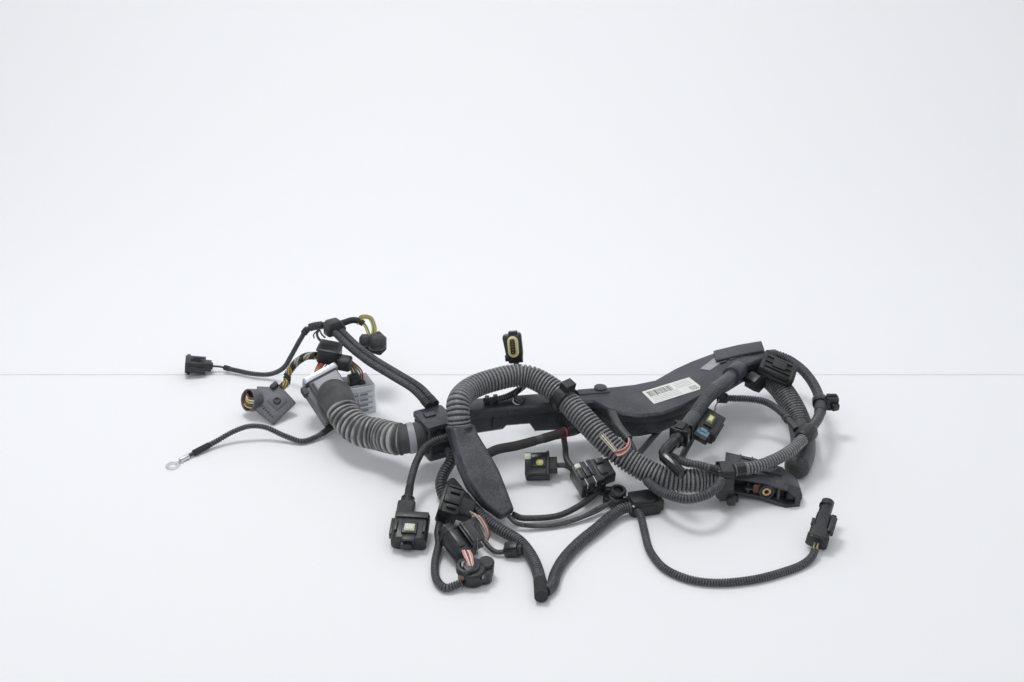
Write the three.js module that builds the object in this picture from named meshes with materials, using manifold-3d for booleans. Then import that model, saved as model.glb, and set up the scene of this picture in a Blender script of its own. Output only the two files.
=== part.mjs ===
// Engine wiring harness: a moulded duct carries the main bundle, and corrugated conduits branch from it to
// connectors, sensors, a module plug and a ground terminal. Millimetres, Z up, resting on the plane Z = 0.
import * as THREE from "three";
import { mergeVertices } from "three/addons/utils/BufferGeometryUtils.js";
import Module from "manifold-3d";

const wasm = await Module();
wasm.setup();

// Driving dimensions

// Distance between faces that touch each other.
const SEAT = 0.3;

// Moves the layout so that its rigid pieces are centred over the origin.
const LAYOUT_TO_ORIGIN = [18, 10, 0];

// Duct tray at stations along X: outer front and back walls, underside and rim.
const DUCT = [
  { x: -63, front: -13, back: 14, floor: 30, rim: 60 },
  { x: -45, front: 0, back: 25, floor: 31, rim: 60 },
  { x: -10, front: 7, back: 30, floor: 33, rim: 60 },
  { x: -6, front: 8, back: 31, floor: 37, rim: 60 },
  { x: 19, front: 12, back: 35, floor: 37, rim: 60 },
  { x: 25, front: 13, back: 36, floor: 27, rim: 60 },
  { x: 60, front: 20, back: 42, floor: 25, rim: 60 },
  { x: 88, front: 23, back: 47, floor: 25, rim: 60 },
  { x: 104, front: 6, back: 50, floor: 26, rim: 60 },
  { x: 118, front: -4, back: 53, floor: 29, rim: 60 },
  { x: 136, front: -8, back: 57, floor: 33, rim: 60 },
  { x: 160, front: -3, back: 67, floor: 35, rim: 60 },
  { x: 185, front: 14, back: 94, floor: 37, rim: 60 },
  { x: 205, front: 32, back: 110, floor: 38, rim: 61 },
  { x: 232, front: 66, back: 128, floor: 40, rim: 62 },
  { x: 262, front: 98, back: 141, floor: 40, rim: 63 },
  { x: 290, front: 118, back: 149, floor: 42, rim: 64 },
];
const DUCT_WALL = 2.2;
const DUCT_CORNER = 3;
const COVER_THICKNESS = 2;
const COVER_LIP = 8;
const COVER_CORNER = 2.5;
const COVER_PLATE = { from: 232, depth: 24, height: 4, inset: 1 };
const COVER_HUMP = { x: 97, y: 45, diameter: 14, height: 4 };
const OUTLET = { diameter: 21, length: 24 };

// Junction box at the left end of the duct, where the bellows hose and the twin conduit arrive.
const END_BOX = { at: [-82, -16, 22], turn: 28, length: 30, width: 36, height: 40, wall: 2, corner: 3 };
const END_LID = { thickness: 2.4, overhang: 2, lip: 3 };
const HOSE_FLANGE = { outer: 36, length: 7, groove: 1.5, ridge: 2, drop: 1.5 };

// Bellows hose of rubber: smooth elbow, ribs, then a cuff on the flange of the box.
const BELLOWS = { elbow: 38, body: 34, root: 29, pitch: 9, cuff: 31, cuffLength: 16, ribs: 7, sides: 18 };

// Plug hood of the control module, tilted, with its flutes, frame and second block.
const HOOD = { width: 38, thickness: 24, length: 52, corner: 4, flutes: 4, fluteDepth: 2 };
const HOOD_AT = [-201, 77, 34];
const HOOD_AIM = [-0.56, 0.61, 0.56];
const HOOD_UP = [0.15, -0.59, 0.79];
const HOOD_FRAME = { width: 43, thickness: 7, bar: 5 };
const BLOCK = { width: 32, depth: 32, height: 36, corner: 2, slots: 4, slotWidth: 2.4, slotDepth: 1.6 };
const BLOCK_AT = [-178, 113, 0];
const BLOCK_TURN = 24;

// Cords: outer diameter of each and the points of its route, from one end to the other.
const CORDS = {
  trunk_bundle: {
    diameter: 14,
    route: [[-60, 1.5, 46], [-45, 12.5, 47], [-10, 18.5, 48.5], [20, 23.5, 48.5], [60, 31, 46],
      [88, 35, 44], [120, 27, 46], [160, 34, 49], [205, 71, 51], [250, 110, 52], [286, 132, 53]],
  },
  twin_conduit: {
    diameter: 8.4,
    route: [[-200.1, 145.3, 82.3], [-183, 119, 80], [-159, 90, 76], [-129, 58, 74], [-103, 30, 72], [-86, 5, 66.8]],
  },
  sensor_lead: {
    diameter: 6,
    route: [[-366, 201, 9], [-356, 203, 7], [-337, 196, 6], [-311, 186, 6], [-292, 182, 8], [-274, 175, 20],
      [-261, 167, 42], [-248, 161, 66], [-238, 161, 80], [-217.6, 158.7, 86.3]],
  },
  branch_lead: {
    diameter: 7,
    route: [[-197.9, 164.1, 85.5], [-185, 171, 86], [-174, 169, 82], [-167.8, 162, 72.4]],
  },
  striped_bundle: {
    diameter: 9,
    route: [[-266, 113.3, 27.8], [-261, 118.4, 31], [-260, 126, 38], [-251, 130, 50], [-237, 125, 62], [-224.7, 118.4, 66.5]],
  },
  ground_lead: {
    diameter: 6,
    route: [[-203.1, 54.3, 9.2], [-217, 42, 5], [-233, 33, 4], [-253, 38, 8], [-275, 43, 16], [-291, 42, 18],
      [-308, 38, 14], [-328, 26, 7], [-343, 13, 4], [-353, 3, 3.2]],
  },
  loop_conduit: {
    diameter: 25,
    route: [[-55, -41, 68], [-56, -36, 78], [-56, -26, 86], [-50, -8, 88], [-38, 6, 89], [-18, 18, 90],
      [3, 27, 90], [20, 27, 88], [36, 18, 84], [53, 3, 78], [72, -20, 68], [91, -41, 56], [109, -56, 45],
      [132, -68, 34], [157, -80, 28], [183, -81.5, 26], [197, -79.5, 26], [209.1, -79.5, 26]],
  },
  boot_cable: {
    diameter: 8,
    route: [[-67, -29.4, 52], [-65.2, -32.8, 52.3], [-65.5, -37, 53], [-71, -42, 53.5], [-80, -46, 52.5], [-90, -51, 48],
      [-98, -64, 40], [-103, -84, 31], [-105, -112, 24]],
  },
  wide_rib_conduit: {
    diameter: 12,
    route: [[-66.2, -28.5, 30], [-63.4, -33.8, 30], [-64.5, -43, 25.5], [-71, -55, 19], [-74, -68, 14.5], [-71, -82, 9], [-63, -93, 7]],
  },
  joint_sleeve: {
    diameter: 11,
    route: [[-62.5, -77, 20], [-48.5, -99, 16], [-34.5, -121, 13.5]],
  },
  folded_conduit: {
    diameter: 12,
    route: [[-34.2, -121.5, 13.4], [-31, -126.5, 12.8], [-15, -144, 11], [7, -164, 9], [20, -192, 8], [26, -224, 8.5],
      [27, -250, 8.5]],
  },
  return_conduit: {
    diameter: 11.5,
    route: [[37.8, -230, 6.3], [41, -214, 6], [49, -192, 6.5], [65, -165, 7], [85, -140, 8], [102, -119, 9.5],
      [112, -110, 10.5], [119.6, -107.2, 10.5]],
  },
  short_conduit: {
    diameter: 8,
    route: [[-71.8, -139, 13.6], [-73, -150, 10], [-71.4, -168, 8.8], [-74, -193, 5], [-71, -221, 5], [-62, -233, 5], [-47.9, -228.6, 7]],
  },
  floor_cable: {
    diameter: 5,
    route: [[-2.6, -125.5, 11.5], [4, -131, 8], [18, -132, 5], [43, -129, 4], [69, -118, 5], [90, -104, 8], [101.5, -98.2, 9.9]],
  },
  duct_cable: {
    diameter: 9.5,
    route: [[-28.6, -55.5, 40.3], [-15, -48, 43], [3, -43, 44], [30, -31, 45], [53, -20, 46], [68, -12, 45],
      [79, 2, 43], [84, 15, 42], [84.3, 21.5, 42]],
  },
  hanging_lead: {
    diameter: 6,
    route: [[48.4, -36, 16], [57, -37, 16], [67, -45, 13], [77, -59, 10], [87, -73, 9], [96.1, -81, 9]],
  },
  cover_sleeve: {
    diameter: 10,
    route: [[106.9, -4, 60.1], [112, -27, 58], [121, -43, 53]],
  },
  front_loop: {
    diameter: 10,
    route: [[139, -90.2, 30.2], [146, -103, 30], [158, -119, 33], [175, -131, 36], [193, -126, 38], [207, -110, 38], [210.7, -101.5, 38]],
  },
  outlet_tube: {
    diameter: 14.5,
    route: [[244, 68, 67], [235, 51, 69.5], [221, 31, 71], [206, 7, 69], [192, -18, 65], [180, -39, 62]],
  },
  front_lead: {
    diameter: 8,
    route: [[128.05, -111.6, 8.5], [129.8, -118.3, 8.3], [132, -142, 4.6], [135, -175, 4.2], [147, -203, 4.2], [168, -219, 4.2], [192, -224, 4.2],
      [225, -220, 4.2], [255, -209, 4.2], [280, -195, 4.4], [291, -184, 6.5], [297, -170, 11]],
  },
  inner_arc: {
    diameter: 8,
    route: [[229.1, 57.9, 45], [246, 55, 46], [262, 54, 46], [280, 47, 46], [293, 29, 45], [300, 7, 44],
      [303.6, -8.4, 44]],
  },
  outer_arc: {
    diameter: 11.5,
    route: [[290.6, 140, 54], [299, 143, 53.5], [309, 147, 52], [321, 143, 49], [335, 122, 46], [343, 88, 43], [342, 52, 42],
      [334, 20, 43], [319.5, -7.7, 44]],
  },
  ribbed_link: {
    diameter: 13,
    route: [[305.8, -31.3, 44], [290, -51, 43], [271, -67, 42], [249, -79, 41], [227.7, -85, 41]],
  },
  woven_hose: {
    diameter: 26,
    route: [[293.2, 118.5, 42.1], [305, 97, 37], [315, 68, 29], [320, 40, 20], [318, 12, 14.5], [312, -14, 13.5],
      [303, -35, 13.5]],
  },
  rim_conduit: {
    diameter: 7,
    route: [[-29, 14, 66.2], [-8, 21, 66.6], [6, 31, 69], [18, 43, 74], [20, 54, 77], [14, 60, 79], [8, 62.5, 80.5], [5, 64, 83], [4.5, 65, 86]],
  },
};
const SIDES = 10;
const THIN_SIDES = 8;
const STRIDE = 1.8;
const THICK = 20;
const THICK_STRIDE = 0.8;

// Pieces along the conduits.
const LOOP_CLIP = { at: 0.47, clearance: 1.1, thickness: 2, length: 12, tab: 9 };
const ARC_CLIP = { at: 0.66, clearance: 1, thickness: 1.8, length: 11, body: 13 };

// Pieces of the construction

// A closed geometry as a solid, and a solid as a geometry.
function solidOf(geometry) {
  const bare = new THREE.BufferGeometry();
  bare.setAttribute("position", geometry.getAttribute("position"));
  bare.setIndex(geometry.getIndex());
  const merged = mergeVertices(bare, 1e-4);
  const vertProperties = new Float32Array(merged.getAttribute("position").array);
  const triVerts = new Uint32Array(merged.getIndex().array);
  if (signedVolume(vertProperties, triVerts) < 0) {
    for (let i = 0; i < triVerts.length; i += 3) {
      [triVerts[i], triVerts[i + 1]] = [triVerts[i + 1], triVerts[i]];
    }
  }
  return new wasm.Manifold(new wasm.Mesh({ numProp: 3, vertProperties, triVerts }));
}

function signedVolume(positions, triangles) {
  const corner = (i) => new THREE.Vector3().fromArray(positions, 3 * triangles[i]);
  let sum = 0;
  for (let i = 0; i < triangles.length; i += 3) {
    sum += corner(i).dot(corner(i + 1).cross(corner(i + 2)));
  }
  return sum / 6;
}

function geometryOf(solid) {
  const { vertProperties, triVerts } = solid.getMesh();
  const geometry = new THREE.BufferGeometry();
  geometry.setAttribute("position", new THREE.BufferAttribute(new Float32Array(vertProperties), 3));
  geometry.setIndex(new THREE.BufferAttribute(new Uint32Array(triVerts), 1));
  return geometry;
}

const join = (...geometries) =>
  geometryOf(geometries.slice(1).reduce((sum, part) => sum.add(solidOf(part)), solidOf(geometries[0])));

const cut = (body, ...tools) =>
  geometryOf(tools.reduce((rest, tool) => rest.subtract(solidOf(tool)), solidOf(body)));

function roundedRectangle(width, height, corner) {
  const [x, y, r] = [width / 2, height / 2, Math.min(corner, width / 2 - 0.1, height / 2 - 0.1)];
  const shape = new THREE.Shape();
  shape.absarc(x - r, y - r, r, 0, Math.PI / 2);
  shape.absarc(r - x, y - r, r, Math.PI / 2, Math.PI);
  shape.absarc(r - x, r - y, r, Math.PI, 1.5 * Math.PI);
  shape.absarc(x - r, r - y, r, 1.5 * Math.PI, 2 * Math.PI);
  shape.closePath();
  return shape;
}

function circle(diameter, sides) {
  const corners = Array.from({ length: sides }, (_, i) => (2 * Math.PI * (i + 0.5)) / sides);
  return new THREE.Shape(corners.map((a) => new THREE.Vector2(Math.cos(a), Math.sin(a)).multiplyScalar(diameter / 2)));
}

// A block along +Z from its rear face at Z = from, centred on X and Y at the given offset.
function block(width, height, length, { corner = 1, from = 0, x = 0, y = 0 } = {}) {
  const geometry = new THREE.ExtrudeGeometry(roundedRectangle(width, height, corner), {
    depth: length,
    bevelEnabled: false,
    curveSegments: 2,
  });
  return geometry.translate(x, y, from);
}

function rod(diameter, length, { sides = 16, from = 0, x = 0, y = 0 } = {}) {
  const geometry = new THREE.ExtrudeGeometry(circle(diameter, sides), { depth: length, bevelEnabled: false });
  return geometry.translate(x, y, from);
}

// A solid of revolution about Z from [radius, z] points.
function turned(profile, segments = 16) {
  const geometry = new THREE.LatheGeometry(profile.map(([r, z]) => new THREE.Vector2(r, z)), segments);
  return geometry.rotateX(Math.PI / 2);
}

// A closed skin through rings with equal numbers of points; flat holds the end ring as drawn in a plane.
function loft(rings, flat) {
  const count = flat.length;
  const positions = rings.flat().flatMap((p) => p.toArray());
  const index = [];
  for (let r = 0; r + 1 < rings.length; r += 1) {
    for (let i = 0; i < count; i += 1) {
      const [a, b] = [r * count + i, r * count + ((i + 1) % count)];
      index.push(a, b, b + count, a, b + count, a + count);
    }
  }
  const last = (rings.length - 1) * count;
  for (const triangle of THREE.ShapeUtils.triangulateShape(flat, [])) {
    const sameTurn = THREE.ShapeUtils.isClockWise(triangle.map((i) => flat[i])) === THREE.ShapeUtils.isClockWise(flat);
    const [a, b, c] = sameTurn ? triangle : triangle.toReversed();
    index.push(c, b, a, last + a, last + b, last + c);
  }
  const geometry = new THREE.BufferGeometry();
  geometry.setAttribute("position", new THREE.Float32BufferAttribute(positions, 3));
  geometry.setIndex(index);
  return geometryOf(solidOf(geometry));
}

// A skin along X, with each station's outline drawn in Y and Z.
function loftAlongX(stations, outline) {
  const rings = stations.map((s) => outline(s).map(([y, z]) => new THREE.Vector3(s.x, y, z)));
  return loft(rings, outline(stations[0]).map(([y, z]) => new THREE.Vector2(y, z)));
}

const curveOf = (route) =>
  new THREE.CatmullRomCurve3(route.map((p) => new THREE.Vector3(...p)), false, "centripetal");

// A solid along a curve with a section of its own at each step: section(t) gives [x, y] points.
function sweep(curve, steps, section) {
  const frames = curve.computeFrenetFrames(steps, false);
  const rings = frames.normals.map((normal, i) =>
    section(i / steps).map(([x, y]) =>
      curve.getPointAt(i / steps).addScaledVector(normal, x).addScaledVector(frames.binormals[i], y)));
  return loft(rings, section(0).map(([x, y]) => new THREE.Vector2(x, y)));
}

function ring(radius, sides) {
  return Array.from({ length: sides }, (_, i) => {
    const angle = (2 * Math.PI * i) / sides;
    return [radius * Math.cos(angle), radius * Math.sin(angle)];
  });
}

const harness = new THREE.Group();
harness.position.set(...LAYOUT_TO_ORIGIN);

const finish = {
  plastic: { color: 0x1d1e20, roughness: 0.55, metalness: 0 },
  duct: { color: 0x2b2c2f, roughness: 0.6, metalness: 0 },
  rubber: { color: 0x3c3c3d, roughness: 0.8, metalness: 0 },
  conduit: { color: 0x242527, roughness: 0.6, metalness: 0 },
  lightGrey: { color: 0xa6a9b0, roughness: 0.6, metalness: 0 },
  silver: { color: 0xc4c7cf, roughness: 0.35, metalness: 0.8 },
  brass: { color: 0xa8854e, roughness: 0.4, metalness: 0.9 },
  wires: { color: 0xb9ab52, roughness: 0.5, metalness: 0 },
};

function add(name, geometry, look) {
  const mesh = new THREE.Mesh(geometry, new THREE.MeshStandardMaterial(finish[look]));
  mesh.name = name;
  harness.add(mesh);
  return mesh;
}

// Sets a piece with its Z axis along aim and its Y axis near up.
function place(mesh, at, aim, up = [0, 0, 1]) {
  const forward = new THREE.Vector3(...aim).normalize();
  const side = new THREE.Vector3(...up).cross(forward).normalize();
  const over = forward.clone().cross(side);
  mesh.quaternion.setFromRotationMatrix(new THREE.Matrix4().makeBasis(side, over, forward));
  mesh.position.set(...at);
  return mesh;
}

// Sets a piece on an end of a cord, its rear face the seat gap away from the cord's end face.
function placeOnEnd(mesh, cord, end, up) {
  const curve = curveOf(CORDS[cord].route);
  const aim = curve.getTangentAt(end).multiplyScalar(end === 1 ? 1 : -1);
  const at = curve.getPointAt(end).addScaledVector(aim, SEAT);
  return place(mesh, at.toArray(), aim.toArray(), up);
}

// Cords

function cordGeometry({ diameter, route }) {
  const curve = curveOf(route);
  const steps = Math.max(3, Math.round(curve.getLength() / (diameter * (diameter > THICK ? THICK_STRIDE : STRIDE))));
  const section = circle(diameter, diameter < 8 ? THIN_SIDES : SIDES);
  return new THREE.ExtrudeGeometry(section, { steps, extrudePath: curve, bevelEnabled: false });
}

// Two conduits side by side under one tape.
function twinGeometry({ diameter, route }) {
  const curve = curveOf(route);
  const steps = Math.round(curve.getLength() / (2 * diameter));
  const r = diameter / 2;
  const half = [[2 * r, 0], [1.7 * r, 0.7 * r], [r, r], [0.3 * r, 0.72 * r]];
  const left = half.map(([x, y]) => [-x, y]).reverse();
  const upper = [...half, ...left];
  const lower = upper.slice(1, -1).map(([x, y]) => [x, -y]).reverse();
  return sweep(curve, steps, () => [...upper, ...lower]);
}

for (const [name, cord] of Object.entries(CORDS)) {
  add(name, name === "twin_conduit" ? twinGeometry(cord) : cordGeometry(cord),
    name === "striped_bundle" ? "wires" : "conduit");
}

// Duct: tray, cover and outlet collar

function trayOutline({ front, back, floor, rim }) {
  const [c, w] = [DUCT_CORNER, DUCT_WALL];
  return [
    [front, rim], [front, floor + c], [front + c, floor], [back - c, floor], [back, floor + c], [back, rim],
    [back - w, rim], [back - w, floor + w + c / 2], [back - w - c / 2, floor + w],
    [front + w + c / 2, floor + w], [front + w, floor + w + c / 2], [front + w, rim],
  ];
}

function coverOutline({ front, back, rim }) {
  const [outer, inner] = [SEAT + COVER_THICKNESS, SEAT];
  const [f, b, top] = [front - outer, back + outer, rim + outer];
  return [
    [f, rim - COVER_LIP], [f, top - COVER_CORNER], [f + COVER_CORNER, top], [b - COVER_CORNER, top],
    [b, top - COVER_CORNER], [b, rim - COVER_LIP], [back + inner, rim - COVER_LIP], [back + inner, rim + inner],
    [front - inner, rim + inner], [front - inner, rim - COVER_LIP],
  ];
}

// The plate raised on the cover's right end.
function plateOutline({ back, rim }) {
  const top = rim + SEAT + COVER_THICKNESS;
  const { depth, height, inset } = COVER_PLATE;
  return [
    [back - depth, top - 1], [back - depth, top + height - 1], [back - depth + 1, top + height],
    [back - inset, top + height], [back, top + height - 1], [back, top - 1],
  ];
}

function oriented(geometry, at, aim, up = [0, 0, 1]) {
  const helper = place(new THREE.Mesh(), at, aim, up);
  helper.updateMatrix();
  return geometry.applyMatrix4(helper.matrix);
}

const outletCurve = curveOf(CORDS.outlet_tube.route);
const outletAim = outletCurve.getTangentAt(0).negate();
const outletAt = outletCurve.getPointAt(0).addScaledVector(outletAim, SEAT);
const collar = (clearance) => oriented(
  rod(OUTLET.diameter + 2 * clearance, OUTLET.length + 2 * clearance, { from: -clearance }),
  outletAt.toArray(),
  outletAim.toArray(),
);
const coverHump = rod(COVER_HUMP.diameter, COVER_HUMP.height + 1, {
  from: DUCT[0].rim + SEAT + COVER_THICKNESS - 1,
  x: COVER_HUMP.x,
  y: COVER_HUMP.y,
});
add("duct_tray", join(loftAlongX(DUCT, trayOutline), collar(0)), "duct");
add("duct_cover", cut(join(
  loftAlongX(DUCT, coverOutline),
  loftAlongX(DUCT.filter((s) => s.x >= COVER_PLATE.from), plateOutline),
  coverHump,
), collar(SEAT)), "duct");

// Junction box, its lid and the hose flange

function endBox() {
  const { length, width, height, wall, corner } = END_BOX;
  const shell = cut(
    block(length, width, height, { corner }),
    block(length - 2 * wall, width - 2 * wall, height, { corner: corner - 1, from: wall }),
  );
  const flange = turned([
    [0, 0], [HOSE_FLANGE.outer / 2 - HOSE_FLANGE.groove, 0], [HOSE_FLANGE.outer / 2, 0],
    [HOSE_FLANGE.outer / 2, HOSE_FLANGE.ridge],
    [HOSE_FLANGE.outer / 2 - HOSE_FLANGE.groove, HOSE_FLANGE.ridge],
    [HOSE_FLANGE.outer / 2 - HOSE_FLANGE.groove, HOSE_FLANGE.length - HOSE_FLANGE.ridge],
    [HOSE_FLANGE.outer / 2, HOSE_FLANGE.length - HOSE_FLANGE.ridge],
    [HOSE_FLANGE.outer / 2, HOSE_FLANGE.length], [0, HOSE_FLANGE.length],
  ], BELLOWS.sides).rotateY(-Math.PI / 2).translate(-length / 2 + 0.5, 0, height / 2 - HOSE_FLANGE.drop);
  return join(shell, flange);
}

function endLid() {
  const { length, width, corner } = END_BOX;
  const { thickness, overhang, lip } = END_LID;
  const outer = block(length + 2 * overhang, width + 2 * overhang, thickness + lip, { corner: corner + 1, from: -lip });
  const inner = block(length + 2 * SEAT, width + 2 * SEAT, lip, { corner, from: -lip });
  return cut(outer, inner);
}

const boxTurn = THREE.MathUtils.degToRad(END_BOX.turn);
const box = add("junction_box", endBox(), "duct");
box.position.set(...END_BOX.at);
box.rotation.z = boxTurn;
const lid = add("junction_lid", endLid(), "duct");
lid.position.set(END_BOX.at[0], END_BOX.at[1], END_BOX.at[2] + END_BOX.height + SEAT);
lid.rotation.z = boxTurn;

// Bellows hose

const flangeFace = new THREE.Vector3(
  -END_BOX.length / 2 - HOSE_FLANGE.length + 0.5 - SEAT, 0, END_BOX.height / 2 - HOSE_FLANGE.drop)
  .applyAxisAngle(new THREE.Vector3(0, 0, 1), boxTurn).add(new THREE.Vector3(...END_BOX.at));
const hoseAxis = new THREE.Vector3(Math.cos(boxTurn), Math.sin(boxTurn), 0);
const hoodFace = new THREE.Vector3(...HOOD_AT)
  .addScaledVector(new THREE.Vector3(...HOOD_UP).normalize(), HOOD.thickness / 2 + SEAT);
const HOSE_ROUTE = [
  hoodFace.toArray(),
  hoodFace.clone().addScaledVector(new THREE.Vector3(...HOOD_UP).normalize(), 8).toArray(),
  [-190, 38, 52],
  [-180, 18, 42],
  [-163, 1, 34],
  [-141, -9, 33],
  flangeFace.clone().addScaledVector(hoseAxis, -16).toArray(),
  flangeFace.toArray(),
];

function bellowsHose() {
  const curve = curveOf(HOSE_ROUTE);
  const total = curve.getLength();
  const ribsEnd = total - BELLOWS.cuffLength;
  const ribsStart = ribsEnd - BELLOWS.ribs * BELLOWS.pitch;
  const marks = [[0, BELLOWS.elbow - 4], [0.07 * ribsStart, BELLOWS.elbow], [ribsStart, BELLOWS.body]];
  for (let k = 0; k < BELLOWS.ribs; k += 1) {
    const from = ribsStart + k * BELLOWS.pitch;
    marks.push([from + 0.18 * BELLOWS.pitch, BELLOWS.root], [from + 0.45 * BELLOWS.pitch, BELLOWS.root]);
    marks.push([from + 0.62 * BELLOWS.pitch, BELLOWS.body], [from + 0.98 * BELLOWS.pitch, BELLOWS.body]);
  }
  marks.push([ribsEnd + 2, BELLOWS.cuff], [total, BELLOWS.cuff]);
  const smooth = [0.16, 0.25, 0.34, 0.43, 0.52, 0.61, 0.7, 0.8, 0.9].map((s) =>
    [s * ribsStart, BELLOWS.elbow + (BELLOWS.body - BELLOWS.elbow) * s]);
  const stations = [...marks, ...smooth].sort((a, b) => a[0] - b[0]);
  const frames = curve.computeFrenetFrames(200, false);
  const rings = stations.map(([s, diameter]) => {
    const t = s / total;
    const i = Math.round(200 * t);
    return ring(diameter / 2, BELLOWS.sides).map(([x, y]) =>
      curve.getPointAt(t).addScaledVector(frames.normals[i], x).addScaledVector(frames.binormals[i], y));
  });
  return loft(rings, ring(1, BELLOWS.sides).map(([x, y]) => new THREE.Vector2(x, y)));
}
add("bellows_hose", bellowsHose(), "rubber");

// Module plug: fluted hood, frame over its upper end and the second block

function moduleHood() {
  const { width, thickness, length, corner, flutes, fluteDepth } = HOOD;
  const body = block(width, thickness, length, { corner, from: -length / 2 });
  const pitch = thickness / (flutes + 1);
  const grooves = Array.from({ length: flutes }, (_, i) =>
    block(2 * fluteDepth, pitch / 2, length - 8, {
      corner: 0.5,
      from: -length / 2 + 4,
      x: -width / 2,
      y: (i + 1) * pitch - thickness / 2,
    }));
  return cut(body, ...grooves);
}

function moduleFrame() {
  const { width, thickness, bar } = HOOD_FRAME;
  const plate = block(width, HOOD.thickness + 4, thickness, { corner: 3 });
  const mouth = block(width - 2 * bar, HOOD.thickness + 4 - 2 * bar, thickness - 3, { corner: 1.5, from: 3 });
  return cut(plate, mouth);
}

function moduleBlock() {
  const { width, depth, height, corner, slots, slotWidth, slotDepth } = BLOCK;
  const pitch = height / (slots + 1);
  const cuts = Array.from({ length: slots }, (_, i) =>
    new THREE.BoxGeometry(width - 8, 2 * slotDepth, slotWidth).translate(0, -depth / 2, (i + 1) * pitch));
  return cut(block(width, depth, height, { corner }), ...cuts);
}

place(add("module_hood", moduleHood(), "rubber"), HOOD_AT, HOOD_AIM, HOOD_UP);
const frameAt = new THREE.Vector3(...HOOD_AT)
  .addScaledVector(new THREE.Vector3(...HOOD_AIM).normalize(), HOOD.length / 2 + SEAT);
place(add("module_frame", moduleFrame(), "silver"), frameAt.toArray(), HOOD_AIM, HOOD_UP);
const second = add("module_block", moduleBlock(), "lightGrey");
second.position.set(...BLOCK_AT);
second.rotation.z = THREE.MathUtils.degToRad(BLOCK_TURN);

// Taped wire trunk above the module plug, with the cap where the twin conduit and the leads meet

const TRUNK_ROUTE = [[-217.3, 113.7, 64.3], [-211.3, 117.7, 69.3], [-202.3, 117.7, 70.3], [-194.3, 110.7, 65.3]];
add("wire_trunk", sweep(curveOf(TRUNK_ROUTE), 8, (t) => ring(9 + 2 * Math.sin(Math.PI * t), 12)), "plastic");

function cap() {
  const side = new THREE.Shape([[-12, -9], [10, -9], [12, -2], [6, 9], [-8, 9], [-12, 3]]
    .map(([x, y]) => new THREE.Vector2(x, y)));
  return new THREE.ExtrudeGeometry(side, { depth: 16, bevelEnabled: false }).translate(0, 0, -8);
}
place(add("branch_cap", cap(), "rubber"), [-206, 153, 86], [0.5, -0.8, 0.1]);

// Connectors

// A plug body along +Z with a rear collar, side keys and a latch on its +Y side.
function plug({ width, height, length, corner = 2, collar: rear, latch, keys = 2 }) {
  const parts = [
    block(rear.width, rear.height, rear.length + 1, { corner: rear.corner ?? 2 }),
    block(width, height, length - rear.length, { corner, from: rear.length }),
    block(latch.width, latch.height + 1, latch.length, {
      corner: 0.6,
      from: length - latch.length - latch.setback,
      y: height / 2 + latch.height / 2 - 0.5,
    }),
  ];
  for (let k = 0; k < keys; k += 1) {
    const side = k % 2 ? 1 : -1;
    parts.push(block(2.4, height * 0.35, (length - rear.length) * 0.8, {
      corner: 0.4,
      from: rear.length + 1,
      x: side * (width / 2 + 0.6),
    }));
  }
  return join(...parts);
}

// A socket hollowed from the front of a plug body.
function withSocket(body, { width, height, depth, length }) {
  return cut(body, block(width, height, depth + 1, { corner: 1, from: length - depth }));
}

const SENSOR_PLUG = {
  width: 21, height: 15, length: 31, corner: 2,
  collar: { width: 13, height: 11, length: 7 },
  latch: { width: 9, height: 2.4, length: 12, setback: 6 },
};
placeOnEnd(add("sensor_connector", withSocket(plug(SENSOR_PLUG),
  { width: 16.5, height: 10.5, depth: 17, length: SENSOR_PLUG.length }), "plastic"), "sensor_lead", 0);

const COVERED_PLUG = { thickness: 14, outline: [[-13, -9], [7, -14], [14, -7], [14, 7], [5, 15], [-8, 9], [-14, 2]] };
function coveredPlug() {
  const outline = new THREE.Shape(COVERED_PLUG.outline.map(([x, y]) => new THREE.Vector2(x, y)));
  return new THREE.ExtrudeGeometry(outline, {
    depth: COVERED_PLUG.thickness - 4, bevelSize: 2, bevelThickness: 2, bevelOffset: -2, bevelSegments: 1,
  }).translate(0, 0, 2 - COVERED_PLUG.thickness);
}
place(add("covered_connector", coveredPlug(), "plastic"), [-160, 150, 66], [0.15, -0.85, 0.45], [0, 0.5, 0.85]);

const PLATE = { width: 34, height: 6, length: 32, boss: 8, bossHeight: 2, socket: 25, socketLength: 18, bore: 20.5 };
function plateConnector() {
  const plate = block(PLATE.width, PLATE.height, PLATE.length, { corner: 1.5, from: -PLATE.length / 2 });
  const boss = rod(PLATE.boss, PLATE.bossHeight + 1).rotateX(-Math.PI / 2).translate(0, PLATE.height / 2 - 1, 0);
  const tab = block(5, 4, 15, { from: 0, x: PLATE.width / 2 - 4, y: PLATE.height / 2 + 1.5 });
  const cup = cut(rod(PLATE.socket, PLATE.socketLength, { sides: 20 }),
    rod(PLATE.bore, PLATE.socketLength, { sides: 20, from: 3 }));
  cup.rotateY(Math.PI / 2).translate(PLATE.width / 2 - 3, -2, 2);
  return join(plate, boss, tab, cup);
}
place(add("plate_connector", plateConnector(), "rubber"), [-270, 98, 18], [0.62, 0.62, 0.35], [0.1, -0.55, 0.83]);

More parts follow.
